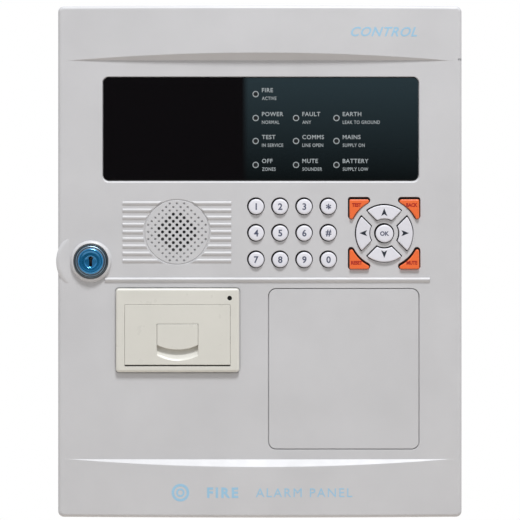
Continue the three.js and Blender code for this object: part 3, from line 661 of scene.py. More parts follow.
def lock_surround(shell):
    """The grip bulge, which rises out of the face towards the panel's left edge, and the lock's collar."""
    grip = LOCK[0] - box("door_cover")[0].x
    shoulder, height = 17, 2.3
    rings = shell.circles([(grip, 27), (grip, 2.0), (grip - 0.4, 1.2), (grip - 1.3, 0.6), (grip - 2.5, 0.15),
                           (grip - 3.6, 0), (grip * 0.8, 0), (grip * 0.6, 0)], 96, LOCK)
    for v in [v for ring in rings for v in ring]:
        lean = height * (LOCK[0] - v.co.x - shoulder) / (grip - shoulder)
        v.co.y += FACE - (lean if v.co.y < height else 0)
    shell.capped(rings)
    shell.sheet(rings[0])
    hole, outer = box("lock_barrel")[1].x - LOCK[0] + 0.3, 15.7
    profile = [(hole, 3.0), (hole, 0.5), (hole + 0.15, 0.12), (hole + 0.6, 0), (outer - 1.2, 0.1),
               (outer - 0.4, 0.7), (outer, 1.6), (outer + 0.25, 2.6), (outer + 0.9, 3.3), (hole, 3.3),
               (hole, 3.0)]
    shell.turn([(radius, FACE - 3.0 + deep) for radius, deep in profile], 72, LOCK)


def key_mouths(shell):
    """A rounded hole for each key. Returns the front and the rear rings."""
    small = lambda g: circle(6.9 + g, 40)
    holes = [shell.mouth(small, place(node), FACE, FACE + SKIN) for node in ROUND_KEYS]
    holes.append(shell.mouth(lambda g: circle(7.9 + g, 40), PAD, FACE, FACE + SKIN))
    for turn in range(4):
        arrow = lambda g: turned_by(arrow_outline(g), 90 * turn)
        corner = lambda g: turned_by(corner_outline(0.35 + g), 90 * turn)
        holes += [shell.mouth(outline, PAD, FACE, FACE + SKIN) for outline in (arrow, corner)]
    return [front for front, _ in holes], [back for _, back in holes]


def window_recess(shell):
    """The window's pocket, with its ledge and the opening behind it."""
    at = place("display_window")
    wide, high = 247.2, 81.3
    floor = box("display_window")[1].y + 0.3
    edge = round_rect(wide, high, 4.8)
    lip = [(x + math.copysign(0.5, x), z + (0.4 if z > 0 else -1.5)) for x, z in edge]
    front = shell.ring(lip, FACE, at)
    slope = [(0.9 * a[0] + 0.1 * b[0], 0.9 * a[1] + 0.1 * b[1]) for a, b in zip(lip, edge)]
    step = shell.loft([front, shell.ring(slope, FACE + 0.08, at), shell.ring(edge, FACE + 1.3, at),
                       shell.ring(edge, floor, at)])
    inner = shell.ring(round_rect(wide - 11, high - 11, 3), floor, at)
    back = shell.ring(round_rect(wide - 11, high - 11, 3), FACE + SKIN, at)
    shell.loft([step, inner, back])
    return front, back


def printer_seat(shell, flange, at):
    """The opening for the printer, with a shallow seat that leaves a fine gap round its flange."""
    seat = growing_rect(flange.x + 1.2, flange.z + 1.2, 3.2, 8)
    front, floor = shell.mouth(seat, at, FACE, FACE + 0.7, 0.25)
    opening = round_rect(flange.x - 5.6, flange.z - 5.6, 1, 8)
    hole = [shell.ring(opening, y, at) for y in (FACE + 0.7, FACE + SKIN)]
    shell.loft([floor, *hole])
    return front, hole[-1]


def door_cover():
    shell = Shell()
    rear = cover_edges(shell)
    header = cover_band(shell, HEADER_LINE, 1)
    footer = cover_band(shell, FOOTER_LINE, -1)
    fronts, backs = key_mouths(shell)
    window = window_recess(shell)
    groove, sound_backs = sound_field(shell)
    low, high = box("blanking_plate")
    plate = growing_rect(high.x - low.x + 1.4, high.z - low.z + 1.4, 6.2, 8)
    recess, floor = shell.mouth(plate, place("blanking_plate"), FACE, FACE + 2, 0.3)
    shell.sheet(floor)
    low, high = box("printer_bezel")
    printer = printer_seat(shell, high - low, place("printer_bezel"))
    lock = shell.mouth(lambda g: circle(11 + g, 48), LOCK, FACE, FACE + SKIN)
    face_edge = perimeter_face(shell, header, footer)
    shell.sheet(face_edge, fronts + [window[0], groove, recess, printer[0], lock[0]])
    shell.sheet(rear, backs + sound_backs + [window[1], printer[1], lock[1]])
    side_ribs(shell)
    louvre(shell, lambda z: RIDGE_LEFT, lambda z: RIDGE_RIGHT, RIDGE_TOP, RIDGE_HEIGHT, RIDGE_RISE)
    lock_surround(shell)
    piece("door_cover_shell", shell, "cover", "door", ["door_cover"], sharp=21)


def perimeter_face(shell, header, footer):
    """The loop round the face's flat: the header's row, the right side and the footer's row."""
    right = []
    for (x, z), (nx, _), _ in perimeter():
        if nx == 1 and FOOTER_LINE + 1e-6 < z < HEADER_LINE - 1e-6:
            if not right or abs(right[-1][1] - z) > 1e-9:
                right.append((x, z))
    return header + shell.ring(right, FACE) + list(reversed(footer))


# ---- keys


def lean_back(shell, middle_z, half):
    """Leans a cap back at its top and out at its bottom, about its own middle."""
    for v in shell.bm.verts:
        if v.co.y < FACE + 1.5:
            v.co.y += (v.co.z - middle_z) / half


def round_key(node, radius, text, height):
    low, high = box(node)
    top, back = low.y + CAP_TOP, high.y
    x, z = place(node)
    cap_at = (x + 0.28, z - 0.35)
    flange = (high.x - low.x) / 2
    shell = Shell()
    # the flange and the cap's sides behind the face are black: painted shade in the gap round the cap
    shell.slot = 2
    shell.turn([(0, back), (flange, back), (flange, back - 1), (radius, back - 1),
                (radius, FACE + 1.8), (0, FACE + 1.8)], 48, (x, z))
    shell.slot = 0
    shell.turn([(0, FACE + 1.9), (radius - 0.1, FACE + 1.9), (radius, top + 1.2), (radius - 0.08, top + 0.75),
                (radius - 0.35, top + 0.35), (radius - 0.8, top + 0.12), (radius - 1.5, top + 0.03),
                (radius * 0.5, top), (0, top)], 48, cap_at)
    shell.slot = 1
    write(shell, text, cap_at, top - 0.01, height, 0.17, depth=0.06)
    lean_back(shell, cap_at[1], radius)
    piece(node + "_cap", shell, "key digit rubber", node, [node])


def shaped_key(node, outline, turn, materials, print_on, shrink, drop):
    """A shaped key: a flange behind the face, black as painted shade in the gap round the cap, and a rounded
    cap, which hangs low in its hole.
    """
    low, high = box(node)
    top = low.y + CAP_TOP
    way = lambda grow: turned_by(outline(grow), 90 * turn)
    shell = Shell()
    # the flanges are black: painted shade in the gap round the cap
    shell.slot = 2
    shell.button(lambda g: way(g + 0.7), PAD, high.y - 1, high.y, 0.05, 1)
    shell.button(way, PAD, FACE + 1.9, high.y - 0.5, 0.05, 1)
    shell.slot = 0
    shell.button(lambda g: way(g - shrink), (PAD[0] + 0.15, PAD[1] - drop), top, FACE + 2.2, 0.8)
    shell.slot = 1
    print_on(shell, top)
    lean_back(shell, (low.z + high.z) / 2, (high.z - low.z) / 2)
    piece(node + "_cap", shell, materials, node, [node])


ARROWHEAD = [(0, 3.4), (-2.4, -2.7), (0, -1.2), (2.4, -2.7)]


def keypad():
    for node in ROUND_KEYS:
        text = {"star": "*", "hash": "#"}.get(node[4:], node[4:])
        round_key(node, 6, text, 5.0 if text != "*" else 6.5)
    round_key("key_enter", 6.9, "OK", 3.2)
    arrows = ["key_up", "key_right", "key_down", "key_left"]
    corners = [("key_upper_right", "BACK", 1, 1), ("key_lower_right", "MUTE", 1, -1),
               ("key_lower_left", "RESET", -1, -1), ("key_upper_left", "TEST", -1, 1)]
    for turn in range(4):
        way = math.radians(90 - 90 * turn)
        spot = (PAD[0] + 16.0 * math.cos(way), PAD[1] + 16.0 * math.sin(way))
        print_arrow = lambda shell, y: flat_shape(shell, turned_by(ARROWHEAD, 90 * turn), spot, y)
        shaped_key(arrows[turn], lambda g: arrow_outline(g - 0.7), turn,
                   "key ink rubber", print_arrow, 0, 0.35)
        node, word, right, up = corners[turn]
        word_at = (PAD[0] + right * 21.6, PAD[1] + up * 22.6 - 0.6)
        print_word = lambda shell, y: write(shell, word, word_at, y, 2.7, 0.2, narrow=0.85)
        shaped_key(node, corner_outline, turn, "orange red_ink rubber", print_word, 0.7, 0.85)


# ---- window, lamps and blanking plate


LABELS = {
    (0, 0): ("FIRE", "ACTIVE"), (0, 1): ("POWER", "NORMAL"),
    (0, 2): ("TEST", "IN SERVICE"), (0, 3): ("OFF", "ZONES"),
    (1, 1): ("FAULT", "ANY"), (1, 2): ("COMMS", "LINE OPEN"), (1, 3): ("MUTE", "SOUNDER"),
    (2, 1): ("EARTH", "LEAK TO GROUND"), (2, 2): ("MAINS", "SUPPLY ON"), (2, 3): ("BATTERY", "SUPPLY LOW"),
}


def display():
    shell = Shell()
    low, high = box("display_window")
    outline = growing_rect(high.x - low.x, high.z - low.z, 4.5)
    shell.button(outline, place("display_window"), low.y, high.y, 0.35)
    piece("display_window_pane", shell, "acrylic", "door", ["display_window"])
    print_y = low.y - 0.02
    rings, lenses = Shell(), Shell()
    columns = [-3.3, 28.3, 59.9]
    rows = [131, 112.3, 94.3, 75.6]
    for (column, row), (first, second) in LABELS.items():
        at = (columns[column], rows[row])
        front, back = print_y - 0.03, print_y + 0.05
        rings.turn([(1.8, front), (2.45, front), (2.45, back), (1.8, back), (1.8, front)], 32, at)
        lenses.turn([(0, print_y - 0.22), (0.8, print_y - 0.18), (1.5, print_y - 0.05),
                     (1.7, print_y + 0.05), (0, print_y + 0.05)], 24, at)
        text_x = at[0] + 4.9
        write(rings, first, (text_x, at[1] + 3.1), print_y, 3.2, 0.08, left=True, spacing=1.1)
        write(rings, second, (text_x, at[1] - 3.3), print_y, 2.6, 0.05, left=True, narrow=0.86, spacing=1.08)
    piece("indicator_print", rings, "grey_ink", "door")
    piece("indicator_lenses", lenses, "lamp", "door")


def blanking_plate():
    shell = Shell()
    low, high = box("blanking_plate")
    outline = growing_rect(high.x - low.x, high.z - low.z, 5.5, 8)
    shell.button(outline, place("blanking_plate"), low.y, high.y, 0.3)
    piece("blanking_plate_panel", shell, "cover", "door", ["blanking_plate"])


def footer_print():
    """Plain wording in pale blue on the two bands, each on the crown's curve."""
    shell = Shell()
    start = len(shell.bm.verts)
    write(shell, "FIRE", (-29, -180.3), 0, 7.6, 0.4, depth=0.1, spacing=1.3)
    write(shell, "ALARM PANEL", (34.5, -180.3), 0, 7.0, 0.0, depth=0.1, spacing=1.22)
    write(shell, "CONTROL", (97, 179.5), 0, 7.2, 0.15, depth=0.1, shear=0.35, spacing=1.1)
    badge = (-62, -180.3)
    for inner, outer in ((4.9, 6.9), (1.9, 3.3)):
        shell.turn([(inner, -0.05), (outer, -0.05), (outer, 0.05),
                    (inner, 0.05), (inner, -0.05)], 48, badge)
    shell.bm.verts.ensure_lookup_table()
    for v in shell.bm.verts[start:]:
        v.co.y += FACE - crown(v.co.x) - 0.02
    piece("band_print", shell, "pale_blue_ink", "door")


# ---- lock


def keyhole(grow):
    """A round mouth with a slot below it."""
    head, half = 1.7 + grow, 1.1 + grow
    lean = math.degrees(math.acos(half / head))
    points = arc((0, 2.2), head, -lean, 180 + lean, 14)
    return points + [(-half, -4.2 - grow), (half, -4.2 - grow)]


def lock():
    low, high = box("lock_barrel")
    flange, back, seat = high.x - LOCK[0], high.y - low.y, FACE - low.y - 0.5
    shell = Shell(LOCK[0], low.y, LOCK[1])
    shell.turn([(7.4, back), (9.9, back), (9.9, seat), (flange, seat), (flange, 1.3), (flange - 0.15, 0.8),
                (flange - 0.5, 0.4), (flange - 1.0, 0.3), (11.9, 0.7), (11.3, 2), (7.4, 2.2),
                (7.4, back)], 72)
    piece("lock_barrel_body", shell, "dark_ring", "door", ["lock_barrel"])
    shell = Shell(LOCK[0], low.y, LOCK[1])
    shell.turn([(10.75, 1.9), (11.9, 1.4), (11.9, 0.7), (11.75, 0.3), (11.4, 0.1), (11.0, 0.3),
                (10.75, 0.8), (10.75, 1.9)], 72)
    piece("lock_bright_rim", shell, "chrome", "door")
    lock_plug()


def lock_plug():
    """The blue face with its keyway, and the shaft and square tail behind it."""
    low, high = box("lock_plug")
    shell = Shell(LOCK[0], low.y, LOCK[1])
    shell.slot = 3
    collar = shell.circles([(10.6, 3.3), (10.6, 1.9), (10.5, 1.5), (10.3, 1.25), (10.0, 1.15)], 72)
    shell.loft(collar)
    shell.slot = 0
    dome = shell.circles([(10.0, 1.15), (9.9, 0.75), (9.6, 0.4), (9.2, 0.15), (8.7, 0.02), (8.2, 0.05),
                          (7.6, 0.25), (6.9, 0.42), (6.2, 0.5)], 72)
    sink = shell.circles([(5.2, 0.5), (4.9, 0.56), (4.5, 0.8)], 33, (0, -0.6))
    hole = [shell.ring(keyhole(grow), deep) for grow, deep in ((0.3, 1.4), (0.1, 1.5), (0, 1.8))]
    shell.sheet(shell.loft(dome), [sink[0]])
    shell.sheet(shell.loft(sink), [hole[0]])
    shell.loft(hole)
    # a black cap down the keyway: painted shade inside the keyhole
    shell.slot = 1
    shell.capped([hole[-1], shell.ring(keyhole(0), 12.5)])
    shell.slot = 2
    shaft, shaft_end = 7, RIM + 3 - low.y
    shell.capped([collar[0]] + shell.circles([(shaft, 3.3), (shaft, shaft_end)], 72))
    shell.block((-2.5, shaft_end - 1, -2.5), (2.5, high.y - low.y, 2.5), 0.2)
    piece("lock_plug_face", shell, "blue void zinc chrome", "lock", ["lock_plug"])


# ---- printer


def printer():
    low, high = box("printer_bezel")
    lid_low, lid_high = box("printer_door")
    at = place("printer_bezel")
    wide, deep, tall = high - low
    edge, wall, seat = 2.1, 1.8, FACE - 0.3 - low.y
    outer = growing_rect(wide, tall, 2.6, 8)
    shell = Shell(at[0], low.y, at[1])
    rings = [shell.ring(outer(grow), y) for grow, y in ((-0.5, seat), (-0.4, seat - 0.5), (0, seat - 0.8))]
    rings += shell.rounded(outer, 0, edge, 5)
    front = shell.loft(rings)
    top, bottom = lid_high.z + 0.15, lid_low.z - 1.2
    door_at = ((lid_low.x + lid_high.x) / 2 - at[0], (top + bottom) / 2 - at[1])
    mouth = shell.mouth(growing_rect(82.7, top - bottom, 0.5, 3), door_at, 0, seat + 1.3, 0.2)
    lamp_at = (40.7, 25.1)
    lamp = shell.mouth(lambda g: circle(1.8 + g, 24), lamp_at, 0, seat, 0.25)
    # a black disc at the bottom of the lamp's hole: painted shade
    shell.slot = 1
    shell.sheet(shell.ring(circle(1.81, 24), 1.2, lamp_at))
    shell.slot = 0
    shell.sheet(front, [mouth[0], lamp[0]])
    body, room = round_rect(90, 59, 1, 3), round_rect(90 - 2 * wall, 59 - 2 * wall, 1, 3)
    outside = shell.ring(body, seat)
    shell.sheet(rings[0], [outside, lamp[1]])
    shell.capped([outside, shell.ring(body, deep)])
    inside = shell.ring(room, seat + 1.3)
    shell.capped([inside, shell.ring(room, deep - wall)])
    shell.sheet(inside, [mouth[1]])
    piece("printer_bezel_frame", shell, "ivory void", "door", ["printer_bezel"])
    printer_lid()
    printer_tab()


def recess_outline(grow):
    """The latch's opening in the lid, with a bowed lower edge. Z is from the lid's hinge."""
    half, top, radius, centre = 16.2 + grow, 31 + grow, 34.1 + grow, 36.4
    spread = math.degrees(math.asin(half / radius))
    points = [(half, top), (-half, top)] + arc((0, centre), radius, 270 - spread, 270 + spread, 16)
    return softened(points, 0.5)


def lid_hinge():
    """A point on the lid's hinge line, at its middle."""
    joint = next(j for j in frame["joints"] if j["name"] == "printer_door_hinge")
    return Vector(joint["pos_m"]) / MM


SCOOP = [(0.3, 0.25), (0.8, 0.6), (1.6, 0.95), (2.6, 1.35), (4.2, 1.9),
         (6, 2.5), (8, 3.1), (10, 3.6), (14, 4.3)]


def printer_lid():
    """The lid with its finger scoop, and the tray, ears and hinge pins behind it. Z is from its hinge."""
    hinge = lid_hinge()
    low, high = box("printer_door")
    half, back, edge = 41.2, 3, 0.4
    bottom, tall, pivot = low.z - hinge.z, high.z - low.z, hinge.y - low.y
    centre = (0, bottom + tall / 2)
    outer = growing_rect(2 * half, tall, 0.5, 3)
    shell = Shell(hinge.x, low.y, hinge.z)
    rings = [shell.ring(outer(0), back, centre)] + shell.rounded(outer, 0, edge, 3, centre)
    front = shell.loft(rings)
    mouth = [shell.ring(recess_outline(0.15), 0), shell.ring(recess_outline(0), 0.15)]
    for up, deep in SCOOP:
        bow = 1.4 * min(1, up / 2.6) / 16.2 ** 2
        scoop = [(x, z + (up - bow * x * x) if z < 20 else z) for x, z in recess_outline(0)]
        mouth.append(shell.ring(scoop, 0.15 + deep))
    mouth.append(shell.ring(scoop, 4.6))
    shell.capped(mouth)
    shell.sheet(front, [mouth[0]])
    tray_at = (0, 16.9)
    tray = shell.ring(round_rect(37, 32.4, 1), back, tray_at)
    shell.capped([tray, shell.ring(round_rect(36, 31.4, 1), pivot + 6.6, tray_at)])
    shell.sheet(rings[0], [tray])
    platen = middle("platen_roller") - shell.origin
    for side in (-1, 1):
        ear = sorted((side * 32, side * 34.4))
        shell.block((ear[0], back - 0.3, platen.z - 6), (ear[1], platen.y + 2.6, platen.z + 2.6), 0.5)
        pin = sorted((side * (half - 1), side * (half + 1.8)))
        shell.block((pin[0], pivot - 0.7, -0.7), (pin[1], pivot + 0.7, 0.7), 0.3)
    piece("printer_lid", shell, "ivory", "printer_door", ["printer_door"])


def printer_tab():
    """The pull tab with a bowed lower edge and its two pivots. Z is from the lid's hinge."""
    hinge = lid_hinge()
    low, high = box("printer_latch")
    shell = Shell(hinge.x, low.y, hinge.z)

    def outline(grow):
        half, top, middle_z, side = 15.98 + grow, 30.7 + grow, 10.8 - grow, 14.4 - grow
        rise = side - middle_z
        radius = (half ** 2 + rise ** 2) / (2 * rise)
        spread = math.degrees(math.asin(half / radius))
        bow = arc((0, middle_z + radius), radius, 270 - spread, 270 + spread, 16)
        return softened([(half, top), (-half, top)] + bow, 0.5)

    depth = high.y - low.y
    shell.button(outline, (0, 0), 0, depth, 0.45)
    y, z, reach = depth / 2, 28.4, 0.6
    for left, right in ((-17.1, -15), (15, 17.1)):
        shell.block((left, y - reach, z - reach), (right, y + reach, z + reach), 0.3)
    piece("printer_pull_tab", shell, "ivory", "printer_latch", ["printer_latch"])


# ---- inside the enclosure


BOARD_FRONT = box("loop_terminals")[1].y + 0.3
BOARD_SLOTS = "board black zinc relay tape white red brass"


def slab(shell, x, z, wide, tall, height, bevel=0.3, y=0):
    """A block that stands out to the front of y. x and z are its lower left corner."""
    shell.block((x, y - height, z), (x + wide, y + 0.2, z + tall), bevel)


def packaged_chip(shell, x, z, wide, tall, pins, y=0):
    """A flat black chip with rows of legs along its upper and lower edges."""
    shell.slot = 1
    slab(shell, x, z, wide, tall, 1.6, y=y - 0.3)
    shell.slot = 2
    pitch = wide / pins
    for i in range(pins):
        for foot in (z - 1.2, z + tall - 0.1):
            slab(shell, x + (i + 0.3) * pitch, foot, 0.4 * pitch, 1.3, 0.5, 0, y)


def capacitor(shell, at, radius, height):
    """A round electrolytic capacitor: a sleeved can with a bright, grooved top."""
    shell.slot = 1
    shell.turn([(radius - 0.4, 0), (radius, -0.4), (radius, -1.2), (radius - 0.35, -1.7), (radius, -2.2),
                (radius, 0.5 - height), (radius - 0.5, -height), (radius - 0.9, -height)], 32, at)
    shell.slot = 2
    shell.turn([(radius - 0.8, 0.3 - height), (radius - 0.8, -height - 0.02), (0, -height - 0.02)], 32, at)


def screw(shell, at, radius, height, y=0):
    """A pan-head screw with a cross on its head."""
    shell.turn([(radius, y), (radius, y - 0.5 * height), (0.85 * radius, y - 0.85 * height),
                (0.5 * radius, y - height), (0, y - height)], 24, at)
    for wide, high in ((1.2, 0.25), (0.25, 1.2)):
        x, z = wide * radius / 2, high * radius / 2
        shell.block((at[0] - x, y - height - 0.04, at[1] - z), (at[0] + x, y - height + 0.1, at[1] + z))


def main_board():
    low, high = box("main_board")
    wide, tall, back = high.x - low.x, high.z - low.z, high.y - BOARD_FRONT
    shell = Shell(low.x, BOARD_FRONT, low.z)
    shell.block((0, 0, 0), (wide, BOARD_THICK, tall), 0.2)
    for at in [(x, z) for x in (6, wide - 6) for z in (6, tall - 6)]:
        shell.slot = 7
        shell.turn([(0, 1.5), (3, 1.5), (3, back), (0, back)], 6, at)
        shell.slot = 2
        screw(shell, at, 2.8, 1.8)
    packaged_chip(shell, 72, 52, 28, 28, 22, -0.6)
    small_chips = ((34, 58, 16), (34, 44, 16), (108, 60, 20), (108, 76, 20), (72, 30, 12), (92, 30, 12))
    for x, z, across in small_chips:
        packaged_chip(shell, x, z, across, 6, across // 2)
    shell.slot = 3
    for i in range(4):
        slab(shell, 10 + 22 * i, 86, 16, 20, 14, 0.6)
    shell.slot = 1
    slab(shell, 120, 14, 32, 26, 11, 0.8)
    shell.slot = 4
    slab(shell, 123, 18, 26, 18, 16, 2.5)
    for x in (22, 40, 58):
        capacitor(shell, (x, 24), 6, 18)
    shell.slot = 5
    for x, across in ((70, 20), (94, 14)):
        slab(shell, x, 3, across, 6, 8, 0.4)
    for z in (50, 66, 82):
        slab(shell, 152, z, 6, 12, 7, 0.4)
    small_parts(shell)
    piece("main_board_assembly", shell, BOARD_SLOTS, "enclosure", ["main_board"])


def small_parts(shell):
    """Rows of small resistors and capacitors, and a row of status lamps."""
    for row, z in enumerate((40, 76, 82)):
        for i in range(13):
            shell.slot = (1, 4, 5)[(i + row) % 3]
            slab(shell, 12 + 4.2 * i, z if i < 5 or z == 40 else z + 2, 2, 1.2, 0.7, 0.1)
    for i in range(10):
        shell.slot = 6 if i == 0 else 4
        slab(shell, 110 + 3.5 * i, 92, 1.8, 2.6, 1.2, 0.3)


def terminal_strip():
    """Fourteen poles, each with a clamp screw and a wire entry below it."""
    low, high = box("loop_terminals")
    wide, deep, tall = high - low
    shell = Shell(*low)
    pitch = wide / 14
    shell.block((0, 3, 0), (wide, deep, tall), 0.3)
    for x in [i * pitch for i in range(14)]:
        shell.slot = 0
        for near, far in ((0.2, 1.6), (8.4, 9.8)):
            shell.block((x + near, 0, 0.5), (x + far, 4, tall - 0.5), 0.3)
        shell.block((x + 1, 0.4, 5.2), (x + 9, 4, 6.6), 0.2)
        shell.slot = 1
        screw(shell, (x + pitch / 2, 10), 2.7, 1.6, 3.2)
        # a black block behind each wire entry: painted shade in the hole
        shell.slot = 2
        shell.block((x + 2.2, 2.8, 1), (x + 7.8, 3.2, 4.6))
    piece("terminal_strip", shell, "terminal zinc void", "enclosure", ["loop_terminals"])


def small_print(shell, x, wide, tall, thick, lines):
    """Bars that stand for lines of small print, as (z, share of the width)."""
    for z, share in lines:
        shell.block((x, -thick, z), (x + share * wide, 0, z + tall))


def battery_cell(node):
    """A sealed battery: a case, a lid, two tabs in coloured cups and a plain label."""
    low, high = box(node)
    wide, deep, tall = high - low
    top, half_deep = tall - 4, deep / 2
    shell = Shell(*low)
    shell.block((0, 0, 0), (wide, deep, top - 7), 1.2)
    shell.block((0.3, 0.3, top - 7.2), (wide - 0.3, deep - 0.3, top), 1)
    for slot, x in ((1, 12), (3, wide - 12)):
        shell.slot = slot
        shell.block((x - 5, half_deep - 12, top - 0.5), (x + 5, half_deep - 3, top + 0.8), 0.5)
        shell.slot = 2
        shell.block((x - 2.4, half_deep - 8, top), (x + 2.4, half_deep - 7.2, tall), 0.1)
    shell.slot = 4
    shell.block((14, -0.08, 3), (wide - 14, 0.3, 17))
    shell.slot = 1
    small_print(shell, 18, 55, 1.3, 0.13, ((13, 0.6), (9, 0.8), (6, 0.45)))
    piece(node + "_cell", shell, "battery red zinc black label", "enclosure", [node])


def power_unit():
    """The power supply's case: a folded sheet with vent slots, screws and a plain rating label."""
    low, high = box("power_supply")
    wide, deep, tall = high - low
    shell = Shell(*low)
    centre = (wide / 2, tall / 2)
    case = growing_rect(wide, tall, 1.2, 4)
    rings = [shell.ring(case(0), deep, centre)] + shell.rounded(case, 0, 0.8, 3, centre)
    front = shell.loft(rings)
    shell.sheet(rings[0])
    vents = []
    vent = growing_rect(42, 4, 1.99, 5)
    for i in range(7):
        at = (wide / 2, 72 + 11 * i)
        shell.slot = 0
        mouth, back = shell.mouth(vent, at, 0, 1.2, 0.3)
        vents.append(mouth)
        # black caps behind the vent slots: painted shade inside the case
        shell.slot = 1
        shell.capped([back, shell.ring(vent(0), 3, at)])
    shell.slot = 0
    shell.sheet(front, vents)
    shell.slot = 2
    for at in [(x, z) for x in (5, 53) for z in (5, 155)]:
        screw(shell, at, 2.4, 1.4)
    shell.slot = 3
    shell.block((8, -0.1, 42), (wide - 8, 0.2, 64))
    shell.slot = 1
    small_print(shell, 11, 36, 1.4, 0.15, ((59, 0.5), (55, 0.9), (51, 0.8), (47, 0.35)))
    piece("power_unit_case", shell, "zinc void brass label", "enclosure", ["power_supply"])


# ---- behind the door


def backed_board(node, front, chips, headers):
    """A board on the back of the door, with chips and headers on its rear side, placed from its middle."""
    low, high = box(node)
    rear = front + BOARD_THICK
    x_half, z_half = (high.x - low.x) / 2, (high.z - low.z) / 2
    shell = Shell(low.x + x_half, rear, low.z + z_half)
    shell.block((-x_half, -BOARD_THICK, -z_half), (x_half, 0, z_half), 0.2)
    for x, z, wide, tall in chips:
        shell.slot = 1
        shell.block((x, -0.1, z), (x + wide, 1.8, z + tall), 0.25)
        shell.slot = 2
        for i in range(int(wide / 1.6)):
            pin = x + (i + 0.4) * 1.6
            shell.block((pin, -0.1, z - 1), (pin + 0.6, 0.4, z + tall + 1))
    shell.slot = 5
    for x, z, wide, tall in headers:
        shell.block((x, -0.1, z), (x + wide, min(7, high.y - rear), z + tall), 0.4)
    shell.slot = 2
    for at in [(x, z) for x in (4 - x_half, x_half - 4) for z in (4 - z_half, z_half - 4)]:
        shell.turn([(0, 1.5), (1.6, 1.3), (2.4, -0.1), (0, -0.1)], 20, at)
    piece(node + "_assembly", shell, BOARD_SLOTS, "door", [node])


def screen_module():
    """The display's frame with its bent tabs, and its circuit board behind."""
    low, high = box("lcd_module")
    wide, deep, tall = high - low
    shell = Shell(low.x, high.y, low.z)
    shell.block((2, -deep, 1.5), (wide - 3, -3.6, tall - 1.5), 0.6)
    for x, z in [(14 + 19 * i, z) for i in range(5) for z in (1, tall - 4)]:
        shell.block((x, -2.2, z), (x + 5, -1.6, z + 3), 0.15)
    shell.slot = 1
    shell.block((0, -3.6, 0), (wide, -2, tall), 0.2)
    shell.slot = 2
    for x, z, across, up in ((20, 26, 16, 16), (50, 30, 12, 8), (72, 30, 12, 8), (86, 8, 14, 7)):
        shell.block((x, -2.1, z), (x + across, -0.5, z + up), 0.3)
    shell.slot = 3
    shell.block((30, -2.1, 8), (72, 0, 13), 0.3)
    piece("screen_module_assembly", shell, "zinc board black white", "door", ["lcd_module"])


def loudspeaker():
    """The driver: rim and basket, magnet, and two solder tabs."""
    low, high = box("speaker")
    shell = Shell(SPEAKER[0], low.y, SPEAKER[1])
    shell.turn([(8, 6.6), (22, 0), (25, 0), (25, 2.1), (19, 6.6), (14.5, 10.5), (8, 10.5), (8, 6.6)], 64)
    shell.slot = 1
    magnet = [(0, 10.3), (12.4, 10.3), (13, 10.9), (13, 17.6), (12.3, 18.2), (8, 18.2),
              (7.5, 18.6), (0, 18.6)]
    shell.turn([(radius, min(y, high.y - low.y)) for radius, y in magnet], 64)
    shell.slot = 2
    for x in (-5, 5):
        shell.block((x - 1.5, 9, -20), (x + 1.5, 9.6, -13), 0.1)
    piece("loudspeaker_driver", shell, "zinc dark_metal brass", "door", ["speaker"])


# ---- CAD nodes that stay


def refine(node, material):
    """Gives a CAD node rounded edges, clean shading and its material."""
    obj = frame["nodes"][node]
    obj.data.materials.clear()
    obj.data.materials.append(MATERIALS[material])
    weld = obj.modifiers.new("weld", "WELD")
    weld.merge_threshold = 1e-6
    planar = obj.modifiers.new("planar", "DECIMATE")
    planar.decimate_type = "DISSOLVE"
    planar.angle_limit = math.radians(1)
    edges = obj.modifiers.new("edges", "BEVEL")
    edges.limit_method = "ANGLE"
    edges.angle_limit = math.radians(35)
    edges.width = 0.3 * MM
    edges.segments = 2
    obj.modifiers.new("normals", "WEIGHTED_NORMAL").keep_sharp = True
    obj.data.shade_smooth()


KEPT = {
    "paint": "back_box hinge_upper_leaf hinge_lower_leaf hinge_upper_knuckle hinge_lower_knuckle",
    "zinc": "chassis_plate battery_bracket hinge_upper_pin hinge_lower_pin lock_nut lock_cam",
    "dark_metal": "printer_mechanism paper_spindle",
    "brass": "earth_stud",
    "black": "rocker_housing power_rocker",
    "rubber": "cable_grommet_left cable_grommet_right platen_roller",
    "silicone": "key_mat",
    "paper": "paper_roll",
}


# ---- camera, light and floor


def area_light(name, location, target, size, power):
    data = bpy.data.lights.new(name, "AREA")
    data.shape = "RECTANGLE"
    data.size, data.size_y = size
    data.energy = power
    light = bpy.data.objects.new(name, data)
    bpy.context.scene.collection.objects.link(light)
    light.location = location
    light.rotation_mode = "QUATERNION"
    light.rotation_quaternion = (Vector(target) - light.location).to_track_quat("-Z", "Y")


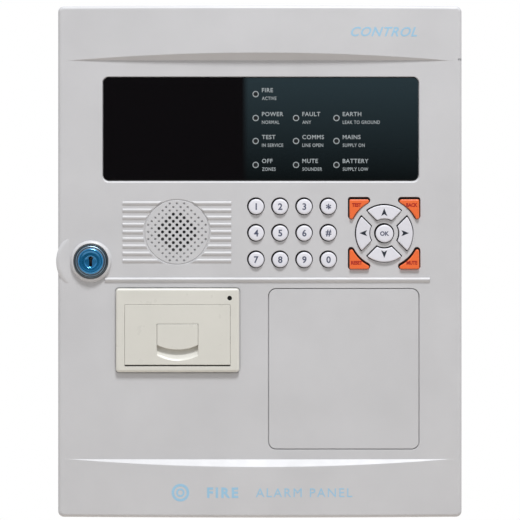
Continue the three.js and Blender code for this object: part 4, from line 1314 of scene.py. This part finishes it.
def surroundings():
    """Soft light all round: cool above, warm below, and dark straight in front. White to the camera."""
    world = bpy.data.worlds.new("studio")
    bpy.context.scene.world = world
    world.use_nodes = True
    tree = world.node_tree
    toward = tree.nodes.new("ShaderNodeSeparateXYZ")
    tree.links.new(tree.nodes.new("ShaderNodeTexCoord").outputs["Generated"], toward.inputs["Vector"])
    height = mapped(tree, toward.outputs["Z"], -0.8, 0.15, 0, 1)
    lit = tree.nodes["Background"]
    tree.links.new(ramp(tree, height, (0.6, 0.38, 0.28), (0.97, 1.0, 1.04), (0, 1)), lit.inputs["Color"])
    tree.links.new(mapped(tree, toward.outputs["Y"], -0.95, -0.7, 0.03, 0.66), lit.inputs["Strength"])
    white = tree.nodes.new("ShaderNodeBackground")
    white.inputs["Color"].default_value = (1, 1, 1, 1)
    mix = tree.nodes.new("ShaderNodeMixShader")
    rays = tree.nodes.new("ShaderNodeLightPath")
    sources = (rays.outputs["Is Camera Ray"], lit.outputs["Background"], white.outputs["Background"])
    for socket, source in zip(mix.inputs, sources):
        tree.links.new(source, socket)
    tree.links.new(mix.outputs["Shader"], tree.nodes["World Output"].inputs["Surface"])


def studio():
    scene = bpy.context.scene
    data = bpy.data.cameras.new("camera")
    camera = bpy.data.objects.new("camera", data)
    scene.collection.objects.link(camera)
    distance, width_seen = 1.6, 0.4067
    data.lens = data.sensor_width * distance / width_seen
    camera.location = (0.0001, FACE * MM - distance, 0.0012)
    camera.rotation_euler = (math.radians(90), 0, 0)
    scene.camera = camera
    surroundings()
    area_light("key_light", (0.18, -1.15, 2.15), (0, -0.1, 0), (0.7, 0.4), 55)
    scene.view_settings.view_transform = "Standard"
    reach, level = 2.2, CAD_BOX[0].z - 0.36
    corners = [(x * reach, y * reach, level) for x, y in ((-1, -1), (1, -1), (1, 1), (-1, 1))]
    mesh = bpy.data.meshes.new("floor")
    mesh.from_pydata(corners, [], [(0, 1, 2, 3)])
    floor = bpy.data.objects.new("floor", mesh)
    scene.collection.objects.link(floor)
    mesh.materials.append(plastic("floor_pale", (0.76, 0.69, 0.62), 0.8))


studio()
door_cover()
keypad()
display()
blanking_plate()
footer_print()
lock()
printer()
main_board()
terminal_strip()
battery_cell("battery_left")
battery_cell("battery_right")
power_unit()
backed_board("indicator_board", box("indicator_board")[1].y - BOARD_THICK,
             [(-40, 8, 16, 6), (-12, 8, 16, 6), (16, 8, 16, 6)], [(-20, -22, 24, 6)])
backed_board("keypad_board", box("keypad_board")[0].y,
             [(-37, -8, 14, 14), (-8, 4, 18, 7), (26, 6, 12, 6)], [(3, -28, 24, 8)])
screen_module()
loudspeaker()
for material_name, nodes in KEPT.items():
    for node_name in nodes.split():
        refine(node_name, material_name)
